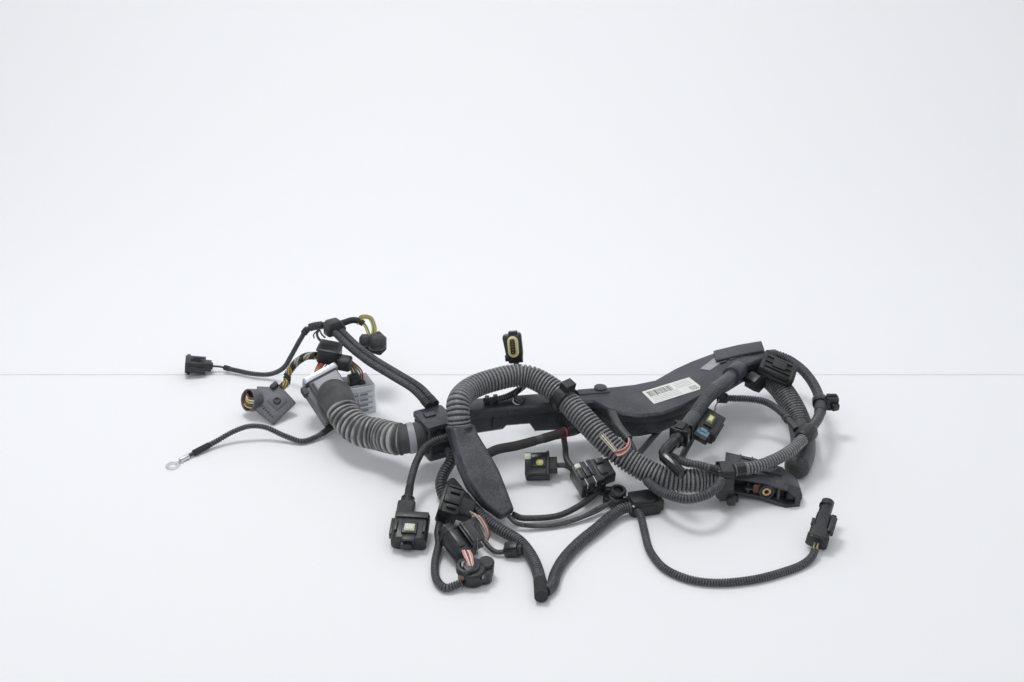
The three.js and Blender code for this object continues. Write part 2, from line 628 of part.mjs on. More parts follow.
const TERMINAL = { outer: 15, hole: 8.4, thickness: 1.4, barrel: 6, barrelLength: 11 };
function ringTerminal() {
  const eye = rod(TERMINAL.outer, TERMINAL.thickness, { sides: 24 });
  const hole = rod(TERMINAL.hole, TERMINAL.thickness + 2, { sides: 20, from: -1 });
  const neck = new THREE.BoxGeometry(9, 5, TERMINAL.thickness).translate(9, 0, TERMINAL.thickness / 2);
  const barrel = rod(TERMINAL.barrel, TERMINAL.barrelLength, { sides: 12 }).rotateY(Math.PI / 2)
    .translate(10, 0, TERMINAL.barrel / 2);
  return cut(join(eye, neck, barrel), hole);
}
const leadEnd = curveOf(CORDS.ground_lead.route).getPointAt(1);
const terminal = add("ring_terminal", ringTerminal(), "silver");
const terminalTurn = 0.86;
terminal.rotation.z = terminalTurn;
terminal.position.set(
  leadEnd.x - (10 + TERMINAL.barrelLength + SEAT) * Math.cos(terminalTurn),
  leadEnd.y - (10 + TERMINAL.barrelLength + SEAT) * Math.sin(terminalTurn),
  leadEnd.z - TERMINAL.barrel / 2,
);

const ELBOW_PLUG = { width: 35, height: 18, length: 34 };
function elbowPlug() {
  return join(
    rod(12, 3, { sides: 12 }),
    rod(10, 6, { sides: 12 }),
    rod(13, 4, { from: 5, sides: 12 }),
    block(18, 14, 18, { corner: 3, from: 8 }),
    block(ELBOW_PLUG.width, ELBOW_PLUG.height, ELBOW_PLUG.length, { corner: 6, from: 24, x: 8 }),
    block(15, 4, 14, { from: 40, x: 8, y: ELBOW_PLUG.height / 2 + 1 }),
    block(11, 8, 7, { from: 24 + ELBOW_PLUG.length - 2, x: 6 }),
  );
}
placeOnEnd(add("elbow_plug", elbowPlug(), "plastic"), "boot_cable", 1, [0, -0.5, 1]);

const PIN_PLUG = { width: 30, height: 22, length: 20, holes: 4, rows: 2, hole: 3.2, depth: 6 };
function pinPlug() {
  const { width, height, length, holes, rows, hole, depth } = PIN_PLUG;
  const body = join(
    block(width, height, length, { corner: 2, from: 0 }),
    block(width - 8, height - 6, 16, { corner: 4, from: -14 }),
  );
  const cells = [];
  for (let r = 0; r < rows; r += 1) {
    for (let h = 0; h < holes; h += 1) {
      cells.push(new THREE.BoxGeometry(hole, hole, depth).translate(
        (h - (holes - 1) / 2) * 6, (r - (rows - 1) / 2) * 8, length));
    }
  }
  return cut(body, ...cells);
}
place(add("pin_connector", pinPlug(), "plastic"), [-52.6, -130.7, 25.3], [-0.85, 0.1, 0.25], [0.25, -0.4, 0.85]);

function sleevePlug() {
  return join(
    rod(22, 32, { sides: 16 }),
    rod(18, 6, { sides: 16, from: -5 }),
    block(4, 24, 26, { from: 2, x: 13 }),
    block(14, 3, 26, { from: 2, x: 16, y: 8 }),
    block(14, 3, 26, { from: 2, x: 16, y: -4 }),
  );
}
place(add("sleeve_connector", sleevePlug(), "plastic"), [-62, -167, 20.5], [0.5, -0.75, -0.28], [0, -0.3, 1]);

function roundPlug({ diameter, length, lobe }) {
  return join(
    turned([[0, 0], [diameter / 2 - 2, 0], [diameter / 2, 2], [diameter / 2, length - 2],
      [diameter / 2 - 2, length], [0, length]], 18),
    rod(diameter * 0.55, length * 0.8, { x: lobe, sides: 12 }),
    rod(diameter * 0.6, length + 3, { sides: 14, x: -1 }),
  );
}
place(add("round_connector", roundPlug({ diameter: 27, length: 16, lobe: 12 }), "plastic"),
  [-38, -216, 3], [0.05, -0.2, 1], [0, 1, 0]);
place(add("black_connector", roundPlug({ diameter: 22, length: 11, lobe: -8 }), "plastic"),
  [107.4, -86.3, 3], [0.05, -0.2, 1], [0, 1, 0]);

const CLIP_PLUG = {
  width: 26, height: 15, length: 34, corner: 2,
  collar: { width: 16, height: 12, length: 8 },
  latch: { width: 11, height: 2.6, length: 15, setback: 7 },
};
place(add("hanging_connector", plug(CLIP_PLUG), "plastic"), [48, -36, 16], [-0.93, 0.04, -0.06], [0.1, -0.5, 0.8]);

const BLADE_PLUG = {
  width: 28, height: 20, length: 40, corner: 2,
  collar: { width: 22, height: 16, length: 14 },
  latch: { width: 12, height: 3, length: 16, setback: 2 },
};
function bladePlug() {
  const slits = [0, 1, 2].map((k) => new THREE.BoxGeometry(40, 24, 1.4).translate(0, 12, 20 + 6 * k));
  return cut(plug(BLADE_PLUG), ...slits);
}
place(add("blade_connector", bladePlug(), "plastic"), [102.3, -67.4, 30.5], [-0.86, -0.36, -0.12], [0, -0.4, 0.9]);

const JUNCTION = { width: 33, depth: 22, height: 18 };
function junctionHousing() {
  const body = block(JUNCTION.width, JUNCTION.depth, JUNCTION.height - 3, { corner: 5 });
  const top = block(JUNCTION.width - 8, JUNCTION.depth - 2, 4, { corner: 3, from: JUNCTION.height - 4, x: -3 });
  return join(body, top);
}
const junction = add("branch_housing", junctionHousing(), "plastic");
junction.position.set(135, -98, 1);
junction.rotation.z = 0.25;

// Elbow connector: collar on the outlet tube, corner and leg.
const ELBOW = { collar: 19, collarLength: 16, neck: 15, neckLength: 24, leg: 12 };
const ELBOW_TURN = [[157, -77, 59], [154, -84, 58], [159, -92, 56], [171, -108, 50.5]];
const elbowAim = curveOf(CORDS.outlet_tube.route).getTangentAt(1);
const elbowAt = curveOf(CORDS.outlet_tube.route).getPointAt(1).addScaledVector(elbowAim, SEAT);
const elbowCollar = join(
  block(ELBOW.collar, ELBOW.collar, ELBOW.collarLength, { corner: 5 }),
  rod(ELBOW.neck, ELBOW.neckLength, { sides: 14 }),
);
const elbowStart = elbowAt.clone().addScaledVector(elbowAim, ELBOW.collarLength).toArray();
const elbowLeg = sweep(curveOf([elbowStart, ...ELBOW_TURN]), 14, (t) => ring(ELBOW.leg / 2 + 0.6 - t, 12));
add("elbow_connector", join(oriented(elbowCollar, elbowAt.toArray(), elbowAim.toArray()), elbowLeg), "plastic");

const LOCK_PLUG = {
  width: 25, height: 13, length: 42, corner: 2,
  collar: { width: 17, height: 10, length: 7 },
  latch: { width: 10, height: 2.4, length: 20, setback: 8 },
};
place(add("lock_connector", plug(LOCK_PLUG), "plastic"), [198.3, -31.9, 46.6], [0.42, 0.82, 0.12], [0.2, -0.4, 0.9]);

function nosePlug() {
  return join(
    block(20, 16, 15, { corner: 4 }),
    block(16, 14, 22, { corner: 4, from: 12 }),
    rod(13, 24, { sides: 16, from: 30, x: 1 }),
    block(7, 8, 18, { from: 15, x: -9, y: 2 }),
  );
}
placeOnEnd(add("nose_connector", nosePlug(), "plastic"), "front_lead", 1, [0, -0.4, 1]);

function flatPlug() {
  const body = block(27, 10, 41, { corner: 2 });
  const ribs = [-8, 0, 8].map((x) => block(2, 2.4, 30, { corner: 0.5, from: 4, x, y: 6 }));
  return join(body, ...ribs);
}
place(add("flat_connector", flatPlug(), "plastic"), [282.3, 101.4, 67.4], [0.85, -0.25, -0.3], [0.3, -0.35, 0.85]);

function sixSided() {
  return join(rod(22, 15, { sides: 6 }), rod(13, 8, { sides: 12, from: -7 }));
}
place(add("cap_sensor", sixSided(), "plastic"), [271.2, 95.6, 48], [0.581, -0.814, 0]);

function facePlug() {
  const body = loft(
    [[0, 15, 13], [10, 19, 14], [29, 21, 15], [32, 19, 13]].map(([z, w, h]) =>
      roundedRectangle(w, h, 3).getPoints(3).slice(0, -1).map((p) => new THREE.Vector3(p.x, p.y, z))),
    roundedRectangle(15, 13, 3).getPoints(3).slice(0, -1),
  );
  return body;
}
placeOnEnd(add("upright_connector", facePlug(), "plastic"), "rim_conduit", 1, [0, -1, 0]);

// Flat shroud that guides the loop conduit's end down to the floor cables

const SHROUD_ROUTE = [[-46, -61, 53], [-36, -82, 41], [-22, -106, 27], [-5, -126, 14]];
const SHROUD_TOP = 8;
const SHROUD_SIZES = [[27, 26], [29, 24], [35, 22], [37, 20], [31, 16], [18, 12]];
function shroud() {
  const loopEnd = curveOf(CORDS.loop_conduit.route).getPointAt(0);
  const down = curveOf(CORDS.loop_conduit.route).getTangentAt(0).negate();
  const top = [SEAT, SHROUD_TOP].map((s) => loopEnd.clone().addScaledVector(down, s).toArray());
  const curve = curveOf([...top, ...SHROUD_ROUTE]);
  const across = new THREE.Vector3(0.86, 0.46, 0.1).normalize();
  const rings = SHROUD_SIZES.map(([width, thickness], i) => {
    const t = i / (SHROUD_SIZES.length - 1);
    const along = curve.getTangentAt(t);
    const side = across.clone().addScaledVector(along, -across.dot(along)).normalize();
    const over = along.clone().cross(side);
    return roundedRectangle(width, thickness, 6).getPoints(4).slice(0, -1).map((p) =>
      curve.getPointAt(t).addScaledVector(side, p.x).addScaledVector(over, p.y));
  });
  return loft(rings, roundedRectangle(27, 22, 6).getPoints(4).slice(0, -1));
}
add("flat_shroud", shroud(), "duct");

// Clips on the conduits

function bandClip({ clearance, thickness, length }, diameter) {
  const inner = diameter / 2 + clearance;
  return turned([[inner, 0], [inner + thickness, 0], [inner + thickness, length], [inner, length], [inner, 0]], 20)
    .translate(0, 0, -length / 2);
}
const loopCurve = curveOf(CORDS.loop_conduit.route);
const loopBand = join(
  bandClip(LOOP_CLIP, CORDS.loop_conduit.diameter),
  block(14, LOOP_CLIP.tab, LOOP_CLIP.length - 2, {
    from: 1 - LOOP_CLIP.length / 2,
    y: CORDS.loop_conduit.diameter / 2 + LOOP_CLIP.clearance + LOOP_CLIP.tab / 2,
  }),
);
place(add("loop_clip", loopBand, "plastic"),
  loopCurve.getPointAt(LOOP_CLIP.at).toArray(), loopCurve.getTangentAt(LOOP_CLIP.at).toArray());
const arcCurve = curveOf(CORDS.outer_arc.route);
const arcBand = join(
  bandClip(ARC_CLIP, CORDS.outer_arc.diameter),
  block(ARC_CLIP.body, 15, 9, {
    from: -4.5,
    x: CORDS.outer_arc.diameter / 2 + ARC_CLIP.clearance + ARC_CLIP.body / 2,
  }),
);
place(add("arc_clip", arcBand, "plastic"),
  arcCurve.getPointAt(ARC_CLIP.at).toArray(), arcCurve.getTangentAt(ARC_CLIP.at).toArray());

// Tape lump where the two arcs meet the ribbed link, and the clamp where the links end
place(add("arc_tape", turned([[0, 0], [8, 0], [10.5, 5], [10.5, 20], [8, 25], [0, 25]], 12), "plastic"),
  [319.5, -9, 44], [-0.55, -0.83, 0]);
function clamp() {
  return join(
    new THREE.BoxGeometry(16, 28, 28),
    new THREE.BoxGeometry(11, 34, 12).translate(0, 0, 4),
    new THREE.BoxGeometry(13, 20, 36).translate(1, -2, 0),
  );
}
add("link_clamp", clamp(), "plastic").position.set(217.5, -85, 29);

// Lower bracket: a channel open to the front, with ribs, a boss and a brass insert

const BRACKET = [
  { x: 226, front: -79, back: -34, floor: 8, rim: 33 },
  { x: 256, front: -83, back: -42, floor: 4, rim: 30 },
  { x: 282, front: -93, back: -54, floor: 0, rim: 27 },
  { x: 297, front: -90, back: -64, floor: 0, rim: 18 },
];
const BRACKET_WALL = 4;
const BRACKET_RECESS = 16;
const INSERT = { at: [262, -86, 15], outer: 9, bore: 5, length: 12 };
function bracketBody() {
  const outer = loftAlongX(BRACKET, ({ front, back, floor, rim }) =>
    [[front, floor], [back, floor + 3], [back, rim - 3], [back - 3, rim], [front + 6, rim], [front, rim - 5]]);
  const recess = loftAlongX(BRACKET.map((s, i) => ({ ...s, x: s.x + [3, 0, 0, -6][i] })),
    ({ front, floor, rim }) => [
      [front - 2, floor + BRACKET_WALL], [front + BRACKET_RECESS, floor + BRACKET_WALL],
      [front + BRACKET_RECESS, rim - BRACKET_WALL - 1], [front - 2, rim - BRACKET_WALL - 3],
    ]);
  const ribs = [244, 274].map((x) => new THREE.BoxGeometry(2.5, 20, 14).translate(x, -66 - (x - 232) * 0.3, 14));
  const boss = rod(INSERT.outer + 6, 18, { sides: 14 }).rotateX(-Math.PI / 2)
    .translate(INSERT.at[0], INSERT.at[1] + 1, INSERT.at[2]);
  const pocket = rod(INSERT.outer + 2 * SEAT, INSERT.length + SEAT, { sides: 16 }).rotateX(-Math.PI / 2)
    .translate(INSERT.at[0], INSERT.at[1] - SEAT, INSERT.at[2]);
  const slots = [250, 266].map((x) =>
    new THREE.BoxGeometry(20, 3, 6).rotateZ(-0.35).translate(x, -50 - (x - 250) * 0.4, 30));
  return cut(join(cut(outer, recess), ...ribs, boss), pocket, ...slots);
}
add("lower_bracket", bracketBody(), "duct");
const insertRing = cut(rod(INSERT.outer, INSERT.length, { sides: 16 }),
  rod(INSERT.bore, INSERT.length + 2, { sides: 14, from: -1 })).rotateX(-Math.PI / 2);
add("bracket_insert", insertRing, "brass").position.set(...INSERT.at);

export default harness;
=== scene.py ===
import math
import random

import bmesh
import bpy
from mathutils import Matrix, Vector, geometry


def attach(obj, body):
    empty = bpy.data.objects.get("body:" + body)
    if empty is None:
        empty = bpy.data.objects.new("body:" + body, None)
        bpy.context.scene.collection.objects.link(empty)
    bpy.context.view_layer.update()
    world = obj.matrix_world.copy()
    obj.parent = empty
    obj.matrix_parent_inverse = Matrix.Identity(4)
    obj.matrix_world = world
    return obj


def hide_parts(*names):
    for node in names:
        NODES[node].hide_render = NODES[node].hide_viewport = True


# Looks of the engine wiring harness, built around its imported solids. The frame is in metres, +Z up.
# Sizes, routes and places are in millimetres of the layout that the CAD source uses.

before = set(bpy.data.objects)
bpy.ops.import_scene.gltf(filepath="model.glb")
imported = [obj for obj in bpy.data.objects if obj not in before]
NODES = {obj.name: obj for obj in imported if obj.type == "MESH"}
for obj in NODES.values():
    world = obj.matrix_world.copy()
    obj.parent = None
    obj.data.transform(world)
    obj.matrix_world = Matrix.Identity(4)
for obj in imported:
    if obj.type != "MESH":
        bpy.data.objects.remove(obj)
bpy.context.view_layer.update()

MM = 0.001
LAYOUT_TO_ORIGIN = Vector((18, 10, 0))

# Camera, at the photograph's viewing angle

CAMERA_AT = Vector((0.018, -1.2571, 0.7912))
CAMERA_PITCH = 63
CAMERA_LENS = 48
CAMERA_SENSOR = 36
CAMERA_NEAREST = 0.01

camera_data = bpy.data.cameras.new("camera")
camera_data.lens = CAMERA_LENS
camera_data.sensor_width = CAMERA_SENSOR
camera_data.clip_start = CAMERA_NEAREST
camera = bpy.data.objects.new("camera", camera_data)
camera.location = CAMERA_AT
camera.rotation_euler = (math.radians(CAMERA_PITCH), 0, 0)
bpy.context.scene.collection.objects.link(camera)
bpy.context.scene.camera = camera
bpy.context.scene.view_settings.view_transform = "Standard"


# Node trees

def arithmetic(operation, reflected=False):
    """An operator of Wire, which adds one Math node."""
    def apply(self, other):
        return self.graph.math(operation, *((other, self) if reflected else (self, other)))
    return apply


class Wire:
    """An output of a node, on which plain arithmetic adds Math nodes."""

    def __init__(self, graph, socket):
        self.graph = graph
        self.socket = socket

    __add__ = arithmetic("ADD")
    __sub__ = arithmetic("SUBTRACT")
    __mul__ = arithmetic("MULTIPLY")
    __truediv__ = arithmetic("DIVIDE")
    __radd__ = arithmetic("ADD", reflected=True)
    __rsub__ = arithmetic("SUBTRACT", reflected=True)
    __rmul__ = arithmetic("MULTIPLY", reflected=True)
    __rtruediv__ = arithmetic("DIVIDE", reflected=True)
    above = arithmetic("GREATER_THAN")
    least = arithmetic("MINIMUM")

    def wrapped(self):
        return self.graph.math("FRACT", self)

    def floor(self):
        return self.graph.math("FLOOR", self)

    def ramp(self, low, high):
        """0 below low, 1 above high and a smooth step between."""
        sockets = {"Value": self, "From Min": low, "From Max": high, "To Min": 0, "To Max": 1}
        return self.graph.add("ShaderNodeMapRange", {"interpolation_type": "SMOOTHSTEP"}, sockets)


class Graph:
    """The node tree of a material or of a geometry modifier."""

    def __init__(self, tree):
        self.tree = tree

    def add(self, kind, settings=None, sockets=None, out=0):
        """A new node; returns its output named or numbered out, or the node itself for None."""
        node = self.tree.nodes.new(kind)
        for name, value in (settings or {}).items():
            if name == "stops":
                self.set_stops(node.color_ramp, value)
            else:
                setattr(node, name, value)
        for name, value in (sockets or {}).items():
            self.put(node.inputs[name], value)
        return node if out is None else Wire(self, node.outputs[out])

    def put(self, socket, value):
        if isinstance(value, Wire):
            self.tree.links.new(value.socket, socket)
        elif socket.type == "RGBA":
            socket.default_value = (*value, 1)
        else:
            socket.default_value = value

    @staticmethod
    def set_stops(ramp, stops):
        """Bands of plain colour, each from its place on."""
        ramp.interpolation = "CONSTANT"
        while len(ramp.elements) < len(stops):
            ramp.elements.new(1)
        for element, (place, colour) in zip(ramp.elements, stops):
            element.position = place
            element.color = (*colour, 1)

    def math(self, operation, *values):
        return self.add("ShaderNodeMath", {"operation": operation}, dict(enumerate(values)))

    def split(self, vector):
        """The X and Y of a vector."""
        node = self.add("ShaderNodeSeparateXYZ", None, {"Vector": vector}, out=None)
        return Wire(self, node.outputs["X"]), Wire(self, node.outputs["Y"])


class Surface(Graph):
    """A material's node tree, with its shader and the object coordinates."""

    def __init__(self, name, colour, roughness, metallic=0):
        self.material = bpy.data.materials.new(name)
        self.material.use_nodes = True
        self.material.node_tree.nodes.clear()
        super().__init__(self.material.node_tree)
        sockets = {"Base Color": colour, "Roughness": roughness, "Metallic": metallic}
        self.shader = self.add("ShaderNodeBsdfPrincipled", None, sockets, out=None)
        self.add("ShaderNodeOutputMaterial", None, {"Surface": Wire(self, self.shader.outputs[0])}, out=None)
        self.at = self.add("ShaderNodeTexCoord", out="Object")

    def noise(self, scale, detail, at=None):
        """Noise of so many cells to the metre."""
        sockets = {"Vector": at or self.at, "Scale": scale, "Detail": detail, "Roughness": 0.55}
        return self.add("ShaderNodeTexNoise", None, sockets)

    def attribute(self, name, out="Fac"):
        return self.add("ShaderNodeAttribute", {"attribute_name": name}, out=out)

    def winding(self):
        """Millimetres along a tube, and turns around it."""
        x, y = self.split(self.attribute("round", "Vector"))
        return self.attribute("along") / MM, self.math("ARCTAN2", y, x) / (2 * math.pi)

    def upward(self):
        """How far a face looks up, from 0 to 1."""
        normal = self.add("ShaderNodeNewGeometry", out="Normal")
        return self.add("ShaderNodeSeparateXYZ", None, {"Vector": normal}, out="Z").ramp(0.1, 1)

    def mix(self, factor, first, second):
        """The colour between two, with factor of the second."""
        node = self.add("ShaderNodeMix", {"data_type": "RGBA"}, {"Factor": factor}, out=None)
        for socket, colour in zip((s for s in node.inputs if s.type == "RGBA"), (first, second)):
            self.put(socket, colour)
        return Wire(self, next(s for s in node.outputs if s.type == "RGBA"))

    def finish(self, colour, roughness, height=None, depth=0):
        """Sets what changes over the surface; depth is that of its relief in millimetres."""
        self.put(self.shader.inputs["Base Color"], colour)
        self.put(self.shader.inputs["Roughness"], roughness)
        if height is not None:
            bump = self.add("ShaderNodeBump", None, {"Height": height, "Distance": depth * MM})
            self.put(self.shader.inputs["Normal"], bump)
        return self.material


# Finishes

DUST = (0.33, 0.335, 0.35)
TAPE = (0.018, 0.018, 0.02)
TAPE_THREADS = (0.06, 0.06, 0.063)
# Light grey of the rib crests: rubbed wear and painted highlight
RIB_WEAR_AND_HIGHLIGHT = (0.42, 0.42, 0.42)
RUBBER_DIRT = (0.15, 0.15, 0.15)
SHEATH_TAPE_WIDTH = 14
BUNDLE_TAPE_WIDTH = 17
BUNDLE_STRANDS = 7
BUNDLE_LAY = 0.16
# Dark colour of the gaps between strands: painted shade
STRAND_GAP_SHADE = (0.03, 0.03, 0.02)
STRANDS = [(0, (0.56, 0.5, 0.14)), (0.2, (0.14, 0.2, 0.08)), (0.36, (0.62, 0.6, 0.46)),
           (0.6, (0.56, 0.5, 0.12)), (0.84, (0.5, 0.48, 0.4))]
LABEL_PAPER = (0.74, 0.74, 0.72)
LABEL_INK = (0.09, 0.09, 0.1)
LABEL_DIRT = (0.4, 0.39, 0.36)


def shade_of(colour, share):
    return tuple(c * share for c in colour)


def moulded(name, colour, roughness=0.45, *, dust=0.25, grain=0.02, scratches=0.15):
    """Moulded plastic: fine grain, light dust on what looks up, and faint rubbed marks."""
    s = Surface(name, colour, roughness)
    cloud, speck, fine = s.noise(28, 4), s.noise(420, 3), s.noise(2600, 2)
    settled = (cloud * 0.6 + speck * 0.4).ramp(0.42, 0.72) * (0.35 + 0.65 * s.upward())
    strokes = s.add("ShaderNodeMapping", None, {"Vector": s.at, "Scale": (60, 900, 500)})
    rubbed = s.noise(1, 2, strokes).ramp(0.62, 0.7) * scratches
    shade = s.mix(settled * dust, colour, DUST)
    shade = s.mix(rubbed, shade, tuple(min(1, c * 2 + 0.08) for c in colour))
    rough = roughness + settled * 0.25 + (speck - 0.5) * 0.12
    return s.finish(shade, rough, fine * 0.7 + speck * 0.5, grain)


def sheath(name, colour, roughness=0.5, *, dust=0.3, wear_and_highlight=0.12, groove=0.45):
    """Ribbed sheath: painted shade in the grooves, crests painted lighter as rubbed wear and painted
    highlight, and cloth tape where it is wrapped.
    """
    s = Surface(name, colour, roughness)
    crest, wrap = s.attribute("crest"), s.attribute("wrap")
    along, turn = s.winding()
    cloud, speck, fine, threads = s.noise(45, 4), s.noise(600, 3), s.noise(3200, 2), s.noise(2400, 2)
    settled = (cloud * 0.5 + speck * 0.5).ramp(0.4, 0.75)
    # Crests lighter: rubbed wear and painted highlight
    rubbed = crest * s.attribute("ribs") * speck.ramp(0.3, 0.75) * wear_and_highlight
    # Grooves darkened by the groove share: painted shade
    shade = s.mix(crest, shade_of(colour, groove), colour)
    # Dust lies heavier on faces that look up; on the loop it is raised to paint the highlight on its top
    shade = s.mix(settled * dust * (0.4 + 0.6 * s.upward()), shade, DUST)
    shade = s.mix(rubbed, shade, RIB_WEAR_AND_HIGHLIGHT)
    lap = (along / SHEATH_TAPE_WIDTH + turn).wrapped()
    edge = lap.ramp(0, 0.08) * (1 - lap.ramp(0.9, 1))
    cloth = s.mix(threads.ramp(0.35, 0.7) * 0.5 + settled * 0.12, TAPE, TAPE_THREADS)
    rough = (1 - wrap) * (roughness + settled * 0.2) + wrap * 0.82
    height = (1 - wrap) * fine * 0.3 + wrap * (threads * 0.6 + edge * 1.6)
    return s.finish(s.mix(wrap, shade, cloth), rough, height, 0.1)


def bellows_rubber(name, colour, wear_and_highlight):
    """Dusty rubber with dirt patches, its rib crests lighter as rubbed wear and painted highlight, and
    painted shade in the grooves between them.
    """
    s = Surface(name, colour, 0.62)
    crest, ribs = s.attribute("crest"), s.attribute("ribs")
    cloud, speck, fine = s.noise(38, 4), s.noise(420, 4), s.noise(2600, 2)
    along, turn = s.winding()
    unrolled = s.add("ShaderNodeCombineXYZ", None, {"X": along * 0.05, "Y": turn * 3})
    sockets = {"Vector": unrolled, "Scale": 1.6, "Detail": 3}
    patches = s.add("ShaderNodeTexNoise", {"noise_dimensions": "2D"}, sockets)
    # Crests lighter: rubbed wear and painted highlight
    rubbed = crest * ribs * (0.35 + 0.65 * patches.ramp(0.36, 0.6)) * (0.6 + 0.4 * speck)
    # Grooves darkened to 0.45 of the colour: painted shade
    shade = s.mix(crest, shade_of(colour, 0.45), colour)
    shade = s.mix(cloud.ramp(0.4, 0.7) * 0.35 + speck * 0.12, shade, RUBBER_DIRT)
    return s.finish(s.mix(rubbed, shade, wear_and_highlight), 0.55 + speck * 0.2, fine * 0.5 + speck * 0.5, 0.12)


def metal(name, colour, roughness, metallic=1):
    """Dull metal with patches where it has lost its shine."""
    s = Surface(name, colour, roughness, metallic)
    speck = s.noise(500, 4)
    dull = (speck * 0.5 + s.noise(70, 3) * 0.5).ramp(0.4, 0.7)
    return s.finish(s.mix(dull * 0.5, colour, shade_of(colour, 0.6)), roughness + dull * 0.2, speck, 0.03)


def insulation(name, colour, roughness=0.35):
    """Coloured wire insulation, a little dirty."""
    s = Surface(name, colour, roughness)
    dirt = s.noise(260, 3).ramp(0.45, 0.75) * 0.3
    return s.finish(s.mix(dirt, colour, shade_of(colour, 0.45)), roughness + dirt, s.noise(900, 2), 0.02)


def striped(name):
    """Loose yellow, green and white wires under a spiral of black tape."""
    s = Surface(name, STRANDS[0][1], 0.42)
    along, turn = s.winding()
    strands = turn * BUNDLE_STRANDS + along * BUNDLE_LAY
    strand = strands.wrapped()
    pick = (strands.floor() * 0.37).wrapped()
    colour = s.add("ShaderNodeValToRGB", {"stops": STRANDS}, {"Fac": pick})
    lap = (along / BUNDLE_TAPE_WIDTH + turn).wrapped()
    tape = lap.ramp(0.5, 0.54) * (1 - lap.ramp(0.95, 1))
    edge = strand.ramp(0, 0.3) * (1 - strand.ramp(0.7, 1))
    # Each strand darkens towards its edges into the gap colour: painted shade between the strands
    shade = s.mix(tape, s.mix(edge * 0.75, STRAND_GAP_SHADE, colour), TAPE)
    return s.finish(shade, 0.38 + tape * 0.15, (1 - tape) * edge + tape * 1.5, 0.5)


def printed_label(name):
    """White paper label with plain bars, rules and a patch of checks that say nothing."""
    s = Surface(name, LABEL_PAPER, 0.55)
    print_at = s.attribute("UVMap", "Vector")
    across, up = s.split(print_at)

    def within(value, low, high):
        return value.above(low) * (1 - value.above(high))

    sockets = {"W": across * 95, "Scale": 1, "Detail": 0}
    stripes = s.add("ShaderNodeTexNoise", {"noise_dimensions": "1D"}, sockets)
    bars = stripes.above(0.47) * within(across, 0.05, 0.54) * within(up, 0.5, 0.9)
    left_rules = within(across, 0.05, 0.6) * within(up, 0.08, 0.44)
    right_rules = within(across, 0.6, 0.93) * within(up, 0.5, 0.88)
    rules = (up * 9).wrapped().above(0.6) * (left_rules + right_rules)
    checks = s.noise(55, 0, print_at).above(0.5) * within(across, 0.8, 0.95) * within(up, 0.08, 0.4)
    ink = (bars * 0.95 + rules * 0.42 + checks * 0.9).least(1)
    dirt = s.noise(160, 4).ramp(0.5, 0.8) * 0.25
    return s.finish(s.mix(dirt, s.mix(ink, LABEL_PAPER, LABEL_INK), LABEL_DIRT), 0.5 + dirt)


LOOKS = {
    # In these sheaths the groove share darkens the grooves as painted shade, and the crests are lightened as
    # wear and painted highlight, most on the loop and the hose; the loop's dust on top is also painted
    # highlight
    "conduit": sheath("conduit", (0.046, 0.049, 0.057), 0.34, dust=0.22, wear_and_highlight=0.14, groove=0.2),
    "leads": sheath("leads", (0.03, 0.031, 0.035), 0.42, dust=0.2, wear_and_highlight=0.06),
    "loop": sheath("loop", (0.13, 0.134, 0.144), 0.32, dust=0.36, wear_and_highlight=0.4, groove=0.13),
    "hose": sheath("hose", (0.045, 0.047, 0.052), 0.4, dust=0.22, wear_and_highlight=0.4, groove=0.3),
    "rubber": bellows_rubber("rubber", (0.036, 0.037, 0.04), RIB_WEAR_AND_HIGHLIGHT),
    "duct": moulded("duct", (0.031, 0.033, 0.041), 0.36, dust=0.22, grain=0.03, scratches=0.2),
    "plastic": moulded("plastic", (0.014, 0.015, 0.018), 0.34, dust=0.12, scratches=0.08),
    "gloss": moulded("gloss", (0.012, 0.012, 0.014), 0.16, dust=0.05, grain=0.01, scratches=0.03),
    "hood": moulded("hood", (0.12, 0.124, 0.138), 0.5, dust=0.45, grain=0.05, scratches=0.4),
    "plate": moulded("plate", (0.1, 0.102, 0.115), 0.45, dust=0.35, grain=0.03, scratches=0.3),
    # Lighter copy of the hood plastic, used as painted highlight on every other flute
    "hood_flute_highlight": moulded("hood_flute_highlight", (0.26, 0.265, 0.28), 0.55, dust=0.6, grain=0.05, scratches=0.3),
    "cap": moulded("cap", (0.03, 0.03, 0.034), 0.5, dust=0.35, grain=0.04),
    "light": moulded("light", (0.36, 0.37, 0.4), 0.5, dust=0.4, grain=0.03, scratches=0.1),
    "light_block": moulded("light_block", (0.7, 0.72, 0.75), 0.55, dust=0.5, grain=0.05, scratches=0.4),
    "clamp_grey": moulded("clamp_grey", (0.3, 0.31, 0.33), 0.4, dust=0.3, grain=0.03, scratches=0.3),
    "plated": metal("plated", (0.6, 0.62, 0.66), 0.38, 0.85),
    "tinned": metal("tinned", (0.75, 0.76, 0.77), 0.3),
    "brass": metal("brass", (0.62, 0.46, 0.24), 0.36),
    "striped": striped("striped"),
    "label": printed_label("label"),
}
